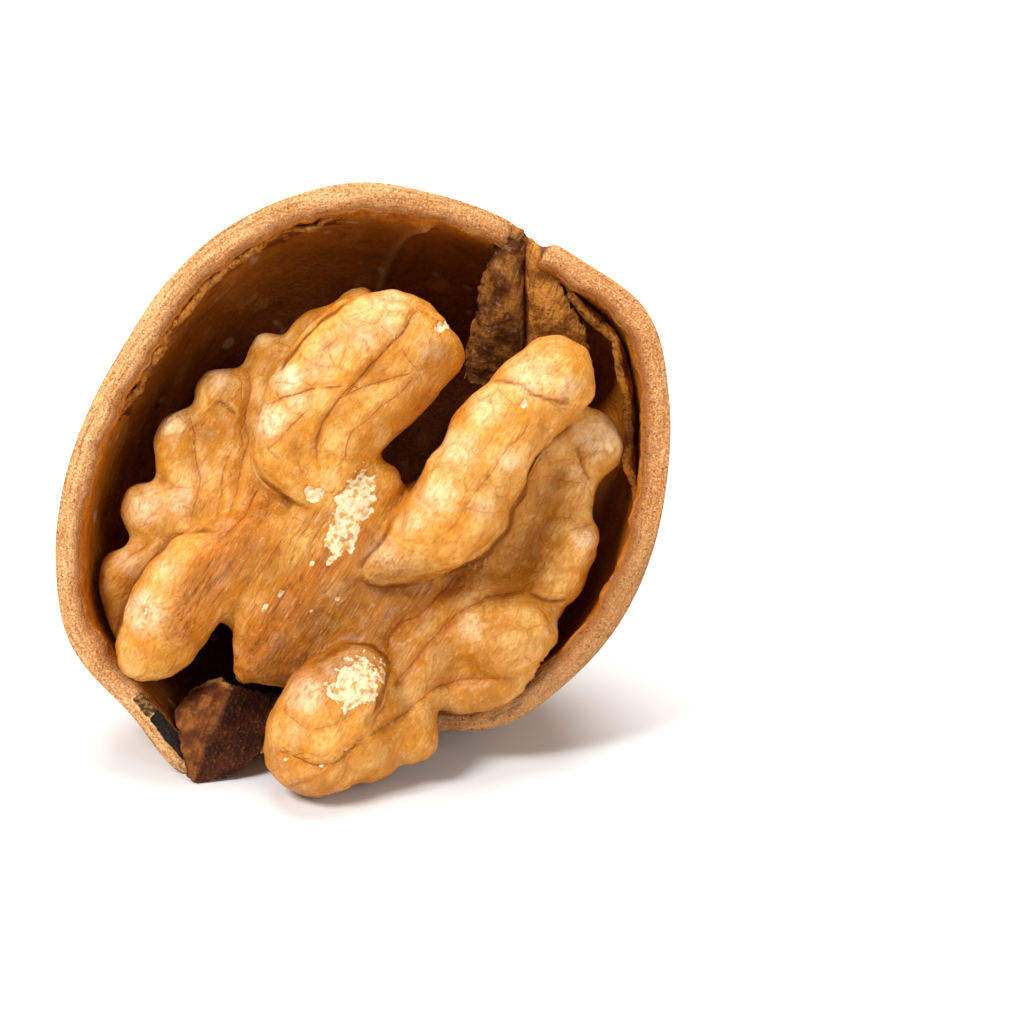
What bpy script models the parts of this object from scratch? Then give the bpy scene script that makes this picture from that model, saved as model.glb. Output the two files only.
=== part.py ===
"""Half of a cracked walnut with its kernel still in it.

The pieces are the woody half shell, the kernel half with its rounded folds, and two papery webs
of the partition that stood between the kernel's lobes: one at the stem end, one at the tip.

Everything is shaped in the nut's face frame: X right and Y up in the plane of the broken rim,
Z out of the opening, origin at the middle of the rim. The nut is then stood up, leaning back by
LEAN, so that it rests on the flat spot under its belly.
"""

import math

import bmesh
import bpy
from mathutils import Matrix, Vector, noise

MM = 0.001

# The stance: how far the opening leans back, and where the middle of the rim is when it stands.
LEAN = math.radians(22)
RIM_MIDDLE = Vector((-0.185 * MM, -3.115 * MM, 17.25 * MM))

# The shell's rim, as its reach from the middle every 15 degrees from +X, in millimetres.
RIM_REACH = (
    19.2, 20.0, 20.8, 19.5, 18.8, 18.5, 18.6, 18.2, 17.8, 17.3, 17.0, 17.5,
    18.5, 19.7, 20.8, 20.2, 19.2, 17.8, 16.9, 16.6, 17.8, 18.1, 18.5, 18.8,
)
# The height of the broken edge at the same places, in millimetres: lowest under the front lobe.
RIM_HEIGHT = (
    0.0, 0.2, 0.3, 0.1, -0.3, 0.0, 0.2, 0.0, -0.2, -0.1, 0.1, 0.0,
    -0.2, 0.0, 0.1, 0.0, -0.6, -1.4, -1.9, -1.4, -0.4, 0.0, 0.1, 0.1,
)
DEPTH = 17.8 * MM
BELLY_REACH = 17.4 * MM
SWELL = 0.7 * MM
SWELL_ANGLE = math.radians(303)
SWELL_SPREAD = math.radians(38)
PROFILE = 2.5
WALL = 1.3 * MM
RIM_FADE = 3.0
RIM_CREST = 0.15 * MM

# The raised seam along the rim, and the beak where the seam ends in the nut's pointed tip.
KEEL = 0.5 * MM
KEEL_HEIGHT = 1.6 * MM
BEAK = 2.4 * MM
BEAK_ANGLE = math.radians(241)
BEAK_SPREADS = (math.radians(11), math.radians(6))
BEAK_DEPTH = 3.5 * MM

# The stem end, where the edge is broken down to a notch.
NOTCH = 2.6 * MM
NOTCH_ANGLE = math.radians(57)
NOTCH_SPREAD = math.radians(8)

# The ply of the wall that stands in a ledge inside the rim on the right.
LEDGE = 1.1 * MM
LEDGE_DEPTH = 2.6 * MM
LEDGE_HEIGHT = 1.3 * MM
LEDGE_ANGLE = math.radians(10)
LEDGE_SPREAD = math.radians(38)

# The furrows that run along the shell from the tip to the stem end.
GRAIN_ANGLE = math.radians(57)
FURROW_WIDTH = 5.0 * MM
FURROW_LENGTH = 13.0 * MM
FURROW_RELIEF = 0.55 * MM

SHELL_SEGMENTS = 66
SHELL_RINGS = 15
RING_CROWDING = 1.35

# The kernel's folds, as beads of x, y, z and radius in millimetres in the face frame.
FOLDS = {
    # The thin scalloped wing of the left lobe: a rib for each scallop, from its edge inwards.
    "wing_top": ((-0.2, 10.7, -4.4, 1.7), (-1.6, 8.4, -4.0, 2.1), (-2.6, 3.8, -3.0, 2.6)),
    "wing_shoulder": ((-3.2, 9.3, -4.2, 1.6), (-3.7, 6.0, -3.5, 2.1), (-4.4, -0.6, -1.8, 2.4)),
    "wing_upper": ((-5.9, 7.8, -4.2, 1.7), (-6.0, 4.6, -3.6, 2.0), (-5.6, -1.8, -1.4, 2.2)),
    "wing_middle": ((-8.9, 5.5, -4.0, 1.7), (-8.3, 2.8, -3.3, 2.0), (-6.8, -2.8, -1.2, 2.1)),
    "wing_bulge": ((-11.5, 2.8, -3.8, 1.8), (-10.8, -0.2, -3.0, 2.1), (-8.4, -3.6, -1.4, 2.2)),
    "wing_knob": ((-13.6, -1.9, -3.4, 1.9), (-11.4, -2.9, -2.6, 2.1), (-8.4, -4.4, -1.0, 2.1)),
    "wing_low": ((-14.2, -10.2, -3.6, 1.8), (-14.6, -8.0, -3.4, 2.0), (-14.8, -6.0, -3.2, 1.9),
                 (-12.2, -5.6, -2.4, 2.1), (-9.0, -5.0, -1.0, 2.2)),
    # The sheet that joins the ribs.
    "wing_hem": ((-0.6, 8.4, -5.0, 1.9), (-4.0, 6.4, -5.0, 1.9), (-6.8, 4.6, -4.9, 1.9), (-9.4, 1.6, -4.6, 1.9),
                 (-11.6, -1.6, -4.2, 1.9), (-13.0, -5.0, -3.9, 1.9)),
    "wing_sheet": ((-2.4, 5.6, -3.8, 2.3), (-5.2, 2.6, -3.4, 2.3), (-8.0, -0.4, -2.9, 2.3), (-10.6, -4.0, -2.3, 2.2)),
    # The fat front fold of the left lobe, and the finger below it.
    "left_crown": ((-4.2, 4.8, 2.6, 1.8), (-2.0, 7.2, 3.2, 2.5), (0.8, 8.6, 3.2, 3.1), (3.0, 8.2, 2.8, 3.0)),
    "left_knob": ((2.6, 8.2, 2.8, 2.6), (4.3, 7.7, 2.6, 2.3)),
    "left_cheek": ((-4.3, 0.8, 2.2, 2.1), (-4.5, 2.5, 2.8, 2.1), (-2.9, 4.4, 3.3, 2.5), (-0.6, 6.0, 3.5, 2.8)),
    "left_flank": ((-1.7, 0.3, 2.0, 2.2), (-0.9, 2.4, 2.8, 2.5), (0.5, 4.5, 3.1, 2.6), (2.4, 6.3, 2.9, 2.6),
                   (4.2, 7.4, 2.6, 2.2)),
    "left_root": ((-1.8, 6.4, -1.6, 3.2), (-2.6, 3.6, -0.4, 3.4), (-2.6, 0.6, 0.0, 3.0), (-3.0, -1.8, 0.6, 2.5)),
    "left_finger": ((-13.1, -10.5, 0.2, 2.3), (-11.7, -8.2, 0.7, 2.8), (-9.9, -5.8, 0.8, 2.7),
                    (-7.2, -4.1, 0.5, 2.5), (-4.6, -3.2, 0.4, 2.4)),
    # The bridge that joins the lobes, with its ridge running down to the tip.
    "bridge_ridge": ((0.8, -0.8, 2.0, 1.9), (-0.4, -2.4, 2.2, 2.1), (-2.4, -4.8, 2.1, 2.1),
                     (-4.6, -7.6, 1.5, 2.1), (-6.4, -10.1, 0.8, 1.8), (-7.2, -11.6, 0.2, 1.2)),
    "bridge_slope": ((0.8, -3.8, 1.0, 2.6), (-1.4, -7.0, 0.5, 2.9), (-3.8, -9.6, -0.1, 2.8), (-5.2, -11.0, -0.5, 2.1)),
    "bridge_side": ((3.6, -5.4, 0.4, 2.6), (1.2, -8.2, 0.0, 2.9), (-1.2, -10.6, 0.0, 2.8), (-3.4, -11.6, -0.4, 2.2)),
    # The front fold of the right lobe, with its knob at the top.
    "right_crown": ((1.8, -5.0, 2.4, 1.5), (3.4, -4.2, 3.0, 2.2), (5.5, -2.4, 3.5, 2.9), (7.3, 0.4, 3.5, 3.0),
                    (8.8, 3.0, 3.2, 2.9), (10.4, 4.7, 2.6, 2.7)),
    "right_knob": ((10.6, 5.0, 2.0, 2.7), (12.0, 6.1, 2.1, 2.8)),
    "right_root": ((3.6, -2.8, 0.2, 2.7), (6.8, -1.4, -0.6, 3.1), (10.0, 1.6, -1.2, 2.9), (11.6, 4.2, -0.6, 2.6)),
    # The wing of the right lobe: scallops down its right edge, joined by a sheet.
    "right_ear": ((14.4, 2.2, -2.0, 2.2), (12.4, 0.6, -2.2, 2.4), (9.6, -1.6, -1.8, 2.7)),
    "right_rib": ((13.0, -1.1, -2.2, 1.8), (10.0, -2.6, -1.8, 2.4)),
    "right_bump": ((13.1, -4.0, -1.9, 2.1), (11.0, -3.8, -1.8, 2.4), (8.6, -3.8, -1.4, 2.6)),
    "right_step": ((12.4, -5.9, -1.8, 1.9), (10.4, -5.4, -1.5, 2.2), (7.6, -5.2, -1.0, 2.5)),
    "right_hem": ((13.0, 1.4, -3.2, 2.0), (12.2, -1.6, -3.2, 2.0), (11.8, -4.6, -3.0, 2.0), (10.8, -7.6, -2.8, 2.0)),
    "right_sheet": ((8.0, -2.6, -1.6, 2.6), (7.6, -5.2, -1.2, 2.5), (6.0, -8.0, -1.0, 2.4), (4.4, -11.0, -0.8, 2.2)),
    "belly_ridge": ((2.2, -12.4, 1.0, 2.0), (3.9, -10.2, 0.6, 2.1), (5.6, -8.2, 0.4, 2.1), (8.2, -7.0, -0.2, 2.0),
                    (11.0, -7.0, -1.2, 1.8)),
    "belly_bulge": ((6.4, -9.6, -0.4, 2.7), (8.7, -9.8, -0.1, 3.1), (9.7, -9.5, -0.4, 2.8)),
    "belly_hem": ((4.6, -12.6, -0.9, 1.6), (7.4, -12.6, -1.4, 1.7), (10.2, -11.6, -1.7, 1.7)),
    # The front lobe that hangs over the low edge of the shell.
    "front_lobe": ((-2.5, -16.2, 3.3, 3.4), (-1.6, -14.6, 3.2, 3.5), (-0.2, -12.6, 2.6, 3.0), (0.8, -10.0, 1.4, 2.8)),
    "front_skirt": ((0.6, -16.8, 1.9, 2.2), (0.9, -14.8, 1.8, 2.4), (1.6, -12.2, 1.0, 2.4)),
    "front_scallop": ((3.5, -15.9, 1.5, 1.7), (2.9, -14.0, 1.3, 2.0), (3.6, -11.6, 0.8, 2.2)),
    # The hidden back of each lobe, which fills the shell.
    "left_back": ((-3.4, 5.6, -7.4, 3.4), (-6.4, 1.6, -8.6, 4.2), (-8.8, -3.6, -7.8, 3.8), (-9.6, -7.0, -5.6, 3.0)),
    "right_back": ((10.0, -1.4, -6.4, 3.2), (8.4, -5.2, -8.0, 4.0), (5.0, -9.4, -7.2, 3.8), (3.4, -11.0, -4.2, 3.0)),
    "bridge_back": ((-4.8, -2.4, -5.0, 3.4), (0.4, -3.8, -5.0, 3.2), (5.0, -5.2, -5.0, 3.6)),
    "bridge_heart": ((-6.0, -4.0, -1.8, 2.8), (-2.0, -5.6, -2.0, 3.2), (2.4, -6.6, -1.8, 3.2), (6.0, -6.4, -2.0, 2.8)),
}
# The lobules that the hidden back of a lobe carries: how many, how far apart, how thick.
LOBULES = 7
LOBULE_REACH = 4.2
LOBULE_RADIUS = 1.5

BALL_STEP = 0.8
KERNEL_VOXEL = 0.34 * MM
KERNEL_SMOOTHING = 5
KERNEL_TRIANGLES = 4800
CLEARANCE = 0.5 * MM

# The partition's webs: rails of x, y and z in millimetres, each from the rim inwards.
STEM_WEB = (
    ((8.0, 13.9, -1.4), (7.4, 12.5, -3.0), (7.2, 10.8, -4.4), (6.8, 8.6, -6.0), (6.6, 6.6, -8.0)),
    ((8.9, 14.0, -0.8), (8.7, 12.4, -2.0), (8.5, 10.6, -3.2), (8.2, 8.4, -5.0), (7.6, 6.2, -7.4)),
    ((9.7, 13.6, -1.4), (10.0, 12.1, -3.2), (10.2, 10.4, -4.8), (10.1, 8.4, -6.6), (9.2, 6.0, -8.8)),
    ((10.4, 13.1, -0.8), (10.9, 11.9, -1.8), (11.4, 10.3, -2.8), (11.5, 8.6, -4.6), (10.8, 6.2, -7.0)),
    ((11.3, 12.2, -1.5), (12.5, 11.0, -2.4), (13.6, 9.2, -3.4), (14.2, 7.4, -5.2), (13.4, 6.0, -7.6)),
)
TIP_WEB = (
    ((-10.3, -18.1, 0.7), (-10.6, -15.8, -0.3), (-10.9, -14.3, -1.0), (-10.6, -13.2, -2.4)),
    ((-10.2, -18.3, 0.8), (-9.9, -16.2, 0.5), (-9.4, -14.4, 0.1), (-8.6, -12.9, -0.8)),
    ((-10.1, -18.4, 0.9), (-9.3, -16.4, 1.1), (-8.6, -14.6, 1.0), (-7.9, -13.1, 0.5)),
    ((-9.3, -18.3, 0.9), (-8.2, -16.5, 0.6), (-7.2, -14.8, 0.1), (-6.3, -13.3, -0.8)),
    ((-8.3, -18.2, 0.8), (-6.6, -16.9, 0.2), (-5.4, -14.9, -1.0), (-4.8, -13.6, -2.4)),
)
WEB_THICKNESS = 0.7 * MM
WEB_CELLS = 8

WOOD_COLOR = (0.42, 0.20, 0.08)
SKIN_COLOR = (0.58, 0.29, 0.08)
PAPER_COLOR = (0.20, 0.08, 0.03)


def clear_scene():
    for thing in list(bpy.data.objects):
        bpy.data.objects.remove(thing)


def finish_of(name, color, roughness):
    material = bpy.data.materials.new(name)
    material.use_nodes = True
    shader = material.node_tree.nodes["Principled BSDF"]
    shader.inputs["Base Color"].default_value = (*color, 1.0)
    shader.inputs["Roughness"].default_value = roughness
    shader.inputs["Metallic"].default_value = 0.0
    return material


def add_object(collection, name, shape, material):
    """Makes an object of a bmesh and shades it smooth."""
    mesh = bpy.data.meshes.new(name)
    shape.to_mesh(mesh)
    shape.free()
    mesh.shade_smooth()
    mesh.materials.append(material)
    made = bpy.data.objects.new(name, mesh)
    collection.objects.link(made)
    return made


def around(values, angle):
    """A smooth closed curve through values evenly spaced round the rim, read at an angle."""
    place = (angle / math.tau) % 1.0 * len(values)
    start = int(place)
    share = place - start
    a, b, c, d = (values[(start + k) % len(values)] for k in (-1, 0, 1, 2))
    bend = 3 * (b - c) + d - a
    return b + 0.5 * share * (c - a + share * (2 * a - 5 * b + 4 * c - d + share * bend))


def bump(distance, spread):
    """A smooth bump of height 1 that fades over the spread."""
    return math.exp(-((distance / spread) ** 2))


def angle_between(a, b):
    return (a - b + math.pi) % math.tau - math.pi


def world_up():
    """The upward direction of the standing nut, in the face frame."""
    return Vector((0.0, math.cos(LEAN), math.sin(LEAN)))


def rim_height(angle):
    notch = NOTCH * bump(angle_between(angle, NOTCH_ANGLE), NOTCH_SPREAD)
    return around(RIM_HEIGHT, angle) * MM - notch


def wall_reach(angle, sink, inset):
    """How far the wall is from the nut's depth axis. Sink runs from 0 at the rim to 1 at the back."""
    rounding = sink * sink
    belly = BELLY_REACH + SWELL * bump(angle_between(angle, SWELL_ANGLE), SWELL_SPREAD)
    reach = (around(RIM_REACH, angle) * MM - KEEL) * (1 - rounding) + belly * rounding
    return (reach - inset) * (1 - sink**PROFILE) ** (1 / PROFILE)


def beak(angle, depth):
    """How far the tip of the nut stands out, fading faster on the side of the front lobe."""
    turn = angle_between(angle, BEAK_ANGLE)
    return BEAK * bump(turn, BEAK_SPREADS[turn > 0]) * bump(depth, BEAK_DEPTH)


def wall_point(angle, sink, inset):
    reach = wall_reach(angle, sink, inset)
    depth = (DEPTH - inset) * sink - rim_height(angle) * (1 - sink) ** RIM_FADE
    return Vector((reach * math.cos(angle), reach * math.sin(angle), -depth))


def furrows(point):
    """The shell's furrows: noise drawn out along the line from the tip to the stem end."""
    turned = point.copy()
    turned.rotate(Matrix.Rotation(-GRAIN_ANGLE, 3, "Z"))
    along = turned.x / FURROW_LENGTH
    across = Vector((along, turned.y / FURROW_WIDTH, turned.z / FURROW_WIDTH))
    ridged = 1 - 2 * abs(noise.noise(across * 1.6))
    return FURROW_RELIEF * (0.6 * ridged + 0.4 * noise.noise(across * 3.1) - 0.35)


def outer_point(angle, sink):
    point = wall_point(angle, sink, 0.0)
    depth = max(0.0, -point.z)
    outward = Vector((math.cos(angle), math.sin(angle), 0.0))
    point += outward * (KEEL * bump(depth, KEEL_HEIGHT) + beak(angle, depth))
    if sink > 0:
        point += point.normalized() * furrows(point) * min(1.0, depth / (3 * KEEL_HEIGHT))
    return rested(point, 0.0)


def ledge(angle, depth):
    window = bump(angle_between(angle, LEDGE_ANGLE), LEDGE_SPREAD)
    return LEDGE * window * bump(depth - LEDGE_DEPTH, LEDGE_HEIGHT)


def inner_point(angle, sink):
    point = wall_point(angle, sink, WALL)
    outward = Vector((math.cos(angle), math.sin(angle), 0.0))
    point += outward * (beak(angle, -point.z) - ledge(angle, -point.z))
    return rested(point, WALL)


def rested(point, height):
    """Lifts a point to a height above the surface that the nut stands on, which makes the flat spot."""
    up = world_up()
    short = height - RIM_MIDDLE.z - point.dot(up)
    return point + up * max(0.0, short)


def shell_shape():
    """A ball whose upper half is pressed into its lower half: outside, rim and inside in one skin."""
    shape = bmesh.new()
    rows = 2 * SHELL_RINGS
    bmesh.ops.create_uvsphere(shape, u_segments=SHELL_SEGMENTS, v_segments=rows, radius=1.0)
    for vertex in shape.verts:
        angle = math.atan2(vertex.co.y, vertex.co.x)
        row = round(math.acos(max(-1.0, min(1.0, vertex.co.z))) / math.pi * rows)
        steps = abs(row - SHELL_RINGS)
        share = max(0, steps - 1) / (SHELL_RINGS - 1)
        sink = math.sin(math.pi / 2 * share**RING_CROWDING) ** (2 / PROFILE)
        if row < SHELL_RINGS:
            vertex.co = inner_point(angle, sink)
        elif row > SHELL_RINGS:
            vertex.co = outer_point(angle, sink)
        else:
            crest = (inner_point(angle, 0.0) + outer_point(angle, 0.0)) / 2
            vertex.co = crest + Vector((0.0, 0.0, RIM_CREST))
    return shape


def add_fold(shape, beads):
    """A fat rounded cord through the beads, made of overlapping balls."""
    cord = bmesh.new()
    for start, end in zip(beads, beads[1:]):
        start, end = Vector(start), Vector(end)
        steps = max(1, round((end - start).length / BALL_STEP))
        for k in range(steps + 1):
            ball = start.lerp(end, k / steps)
            place = Matrix.Translation(ball.xyz * MM)
            bmesh.ops.create_icosphere(cord, subdivisions=2, radius=ball.w * MM, matrix=place)
    mesh = bpy.data.meshes.new("fold")
    cord.to_mesh(mesh)
    cord.free()
    shape.from_mesh(mesh)
    bpy.data.meshes.remove(mesh)


def add_lobules(shape, beads):
    """The short folds that stand out of the hidden back of a lobe, fanned round its middle."""
    start, end = Vector(beads[0]), Vector(beads[-1])
    run = (end.xyz - start.xyz).normalized()
    side = run.cross(Vector((0.0, 0.0, 1.0))).normalized()
    for k in range(LOBULES):
        share = (k + 0.5) / LOBULES
        near = Vector(beads[1]).lerp(Vector(beads[2]), share)
        middle = start.xyz.lerp(end.xyz, share)
        tilt = math.sin(2.4 * k) * 1.1
        out = (side * math.sin(tilt) - Vector((0.0, 0.0, math.cos(tilt)))).normalized()
        tip = middle.lerp(near.xyz, 0.5) + out * LOBULE_REACH
        root = middle.lerp(near.xyz, 0.5)
        add_fold(shape, ((*root, LOBULE_RADIUS), (*tip, LOBULE_RADIUS)))


def kept_clear(point, gap):
    """Brings a point inside the shell back to a gap from its wall where it would come nearer."""
    angle = math.atan2(point.y, point.x)
    inset = WALL + gap
    if point.z > rim_height(angle) + gap + RIM_CREST:
        return rested(point, 0.05 * MM)
    sink = min(max(0.0, -point.z) / (DEPTH - inset), 0.995)
    limit = wall_reach(angle, sink, inset) + beak(angle, -point.z) - ledge(angle, -point.z)
    reach = math.hypot(point.x, point.y)
    share = min(1.0, limit / max(reach, 1e-9))
    inside = Vector((point.x * share, point.y * share, max(point.z, inset - DEPTH)))
    return rested(inside, inset)


def applied(thing):
    """Replaces an object's mesh by what its modifiers make of it."""
    graph = bpy.context.evaluated_depsgraph_get()
    made = bpy.data.meshes.new_from_object(thing.evaluated_get(graph))
    thing.modifiers.clear()
    thing.data = made
    return thing


def make_kernel(collection, material):
    shape = bmesh.new()
    for beads in FOLDS.values():
        add_fold(shape, beads)
    for name in ("left_back", "right_back"):
        add_lobules(shape, FOLDS[name])
    kernel = add_object(collection, "kernel", shape, material)
    fuse = kernel.modifiers.new("fuse the folds", "REMESH")
    fuse.mode = "VOXEL"
    fuse.voxel_size = KERNEL_VOXEL
    soften = kernel.modifiers.new("soften the creases", "SMOOTH")
    soften.iterations = KERNEL_SMOOTHING
    applied(kernel)
    for vertex in kernel.data.vertices:
        vertex.co = kept_clear(vertex.co, CLEARANCE)
    thin = kernel.modifiers.new("thin the mesh", "DECIMATE")
    thin.ratio = KERNEL_TRIANGLES / (2 * len(kernel.data.polygons))
    thin.use_collapse_triangulate = True
    return applied(kernel)


def make_web(collection, name, rails, material):
    """A papery web: a grid drawn over rails that run from the rim inwards, then thickened."""
    shape = bmesh.new()
    bmesh.ops.create_grid(shape, x_segments=WEB_CELLS, y_segments=WEB_CELLS, size=0.5)
    for vertex in shape.verts:
        across = (vertex.co.x + 0.5) * (len(rails) - 1)
        inward = (vertex.co.y + 0.5) * (len(rails[0]) - 1)
        i = min(int(across), len(rails) - 2)
        j = min(int(inward), len(rails[0]) - 2)
        near = Vector(rails[i][j]).lerp(Vector(rails[i][j + 1]), inward - j)
        far = Vector(rails[i + 1][j]).lerp(Vector(rails[i + 1][j + 1]), inward - j)
        vertex.co = kept_clear(near.lerp(far, across - i) * MM, CLEARANCE + WEB_THICKNESS / 2)
    web = add_object(collection, name, shape, material)
    thicken = web.modifiers.new("thickness", "SOLIDIFY")
    thicken.thickness = WEB_THICKNESS
    thicken.offset = 0.0
    return applied(web)


def stand_up(things):
    """Turns the pieces from the face frame to the standing pose."""
    lean_back = Matrix.Rotation(math.pi / 2 - LEAN, 4, "X")
    for thing in things:
        thing.matrix_world = Matrix.Translation(RIM_MIDDLE) @ lean_back


def main():
    clear_scene()
    walnut = bpy.data.collections.new("walnut half")
    bpy.context.scene.collection.children.link(walnut)
    wood = finish_of("walnut shell wood", WOOD_COLOR, 0.7)
    skin = finish_of("walnut kernel skin", SKIN_COLOR, 0.45)
    paper = finish_of("walnut partition", PAPER_COLOR, 0.8)
    shell = add_object(walnut, "shell", shell_shape(), wood)
    kernel = make_kernel(walnut, skin)
    stem_web = make_web(walnut, "partition_stem_end", STEM_WEB, paper)
    tip_web = make_web(walnut, "partition_tip", TIP_WEB, paper)
    stand_up((shell, kernel, stem_web, tip_web))


main()
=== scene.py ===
"""The finished look of a cracked walnut half: shell, kernel, partition webs, light, floor and camera.

Shapes are worked in the nut's face frame, in millimetres: X right and Y up in the plane of the
broken rim, Z out of the opening. The finished meshes are then stood up in the model's frame.
"""

import math

import bmesh
import bpy
import numpy as np
from mathutils import Matrix, Vector, noise


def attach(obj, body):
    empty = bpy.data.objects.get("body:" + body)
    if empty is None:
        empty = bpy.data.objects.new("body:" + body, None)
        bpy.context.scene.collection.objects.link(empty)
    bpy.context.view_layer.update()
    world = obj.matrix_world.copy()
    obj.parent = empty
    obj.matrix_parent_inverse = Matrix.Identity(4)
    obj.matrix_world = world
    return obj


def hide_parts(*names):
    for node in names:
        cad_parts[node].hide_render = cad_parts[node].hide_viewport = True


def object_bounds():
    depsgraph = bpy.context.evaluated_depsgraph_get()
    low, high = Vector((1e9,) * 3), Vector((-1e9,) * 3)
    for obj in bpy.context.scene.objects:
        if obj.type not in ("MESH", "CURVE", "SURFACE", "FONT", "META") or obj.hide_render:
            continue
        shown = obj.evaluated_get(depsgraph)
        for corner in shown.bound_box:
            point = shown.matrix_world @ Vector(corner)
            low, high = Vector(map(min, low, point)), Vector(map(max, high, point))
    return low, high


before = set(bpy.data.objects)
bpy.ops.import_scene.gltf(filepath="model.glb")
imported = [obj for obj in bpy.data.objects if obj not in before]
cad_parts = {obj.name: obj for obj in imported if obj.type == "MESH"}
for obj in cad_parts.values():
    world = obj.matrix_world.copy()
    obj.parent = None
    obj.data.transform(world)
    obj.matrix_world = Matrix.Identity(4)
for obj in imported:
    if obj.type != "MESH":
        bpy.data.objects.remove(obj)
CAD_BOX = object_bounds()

# Without a seed, noise_vector starts from the clock, and each run would give another shell.
noise.seed_set(3)

# The stance of the solids: the opening leans back, and the middle of the rim stands here.
LEAN = math.radians(22)
RIM_MIDDLE = Vector((-0.000185, -0.003115, 0.01725))
MM = 0.001

# The shell's rim, as in the solids: reach from the middle and height, every 15 degrees from +X.
RIM_REACH = (
    19.2, 20.0, 20.8, 19.5, 18.8, 18.5, 18.6, 18.2, 17.8, 17.3, 17.0, 17.5,
    18.5, 19.7, 20.8, 20.2, 19.2, 17.8, 16.9, 16.6, 17.8, 18.1, 18.5, 18.8,
)
RIM_HEIGHT = (
    0.0, 0.2, 0.3, 0.1, -0.3, 0.0, 0.2, 0.0, -0.2, -0.1, 0.1, 0.0,
    -0.2, 0.0, 0.1, 0.0, -0.6, -1.4, -1.9, -1.4, -0.4, 0.0, 0.1, 0.1,
)
DEPTH = 17.8
BELLY_REACH = 17.4
SWELL = 0.7
SWELL_ANGLE = math.radians(303)
SWELL_SPREAD = math.radians(38)
PROFILE = 2.5
WALL = 1.3
RIM_FADE = 3.0
KEEL = 0.5
KEEL_HEIGHT = 1.6
BEAK = 2.4
BEAK_ANGLE = math.radians(241)
BEAK_SPREADS = (math.radians(11), math.radians(6))
BEAK_DEPTH = 3.5
GRAIN_ANGLE = math.radians(57)
WEB_ANGLE = math.radians(72)

# The crack at the stem end: the edge drops steeply on the right and climbs slowly on the left.
NOTCH = 2.4
NOTCH_ANGLE = math.radians(52.5)
NOTCH_SPREADS = (math.radians(5.5), math.radians(1.6))

RIM_ROWS = 10
INSIDE_ROWS = 46
OUTSIDE_ROWS = 92
DEEPEST_FURROW = -0.65
SHELL_SEGMENTS = 440

# The kernel's folds, as beads of x, y, z and radius.
FRONT_FOLDS = {
    "left_crown": ((-4.2, 4.8, 2.6, 1.8), (-2.0, 7.2, 3.2, 2.5), (0.8, 8.6, 3.2, 3.1), (3.0, 8.2, 2.8, 3.0)),
    "left_knob": ((2.6, 8.2, 2.8, 2.6), (4.3, 7.7, 2.6, 2.3)),
    "left_cheek": ((-4.3, 0.8, 2.2, 2.1), (-4.5, 2.5, 2.8, 2.1), (-2.9, 4.4, 3.3, 2.5), (-0.6, 6.0, 3.5, 2.8)),
    "left_flank": ((-1.7, 0.3, 2.0, 2.2), (-0.9, 2.4, 2.8, 2.5), (0.5, 4.5, 3.1, 2.6), (2.4, 6.3, 2.9, 2.6),
                   (4.2, 7.4, 2.6, 2.2)),
    "left_finger": ((-13.1, -10.5, 0.2, 2.3), (-11.7, -8.2, 0.7, 2.8), (-9.9, -5.8, 0.8, 2.7),
                    (-7.2, -4.1, 0.5, 2.5), (-4.6, -3.2, 0.4, 2.4)),
    "right_crown": ((1.8, -5.0, 2.4, 1.5), (3.4, -4.2, 3.0, 2.2), (5.5, -2.4, 3.5, 2.9), (7.3, 0.4, 3.5, 3.0),
                    (8.8, 3.0, 3.2, 2.9), (10.4, 4.7, 2.6, 2.7)),
    "right_knob": ((10.6, 5.0, 2.0, 2.7), (12.0, 6.1, 2.1, 2.8)),
    "front_lobe": ((-2.5, -16.2, 3.15, 3.4), (-1.6, -14.6, 3.05, 3.5), (-0.5, -13.2, 2.9, 3.1)),
}
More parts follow.
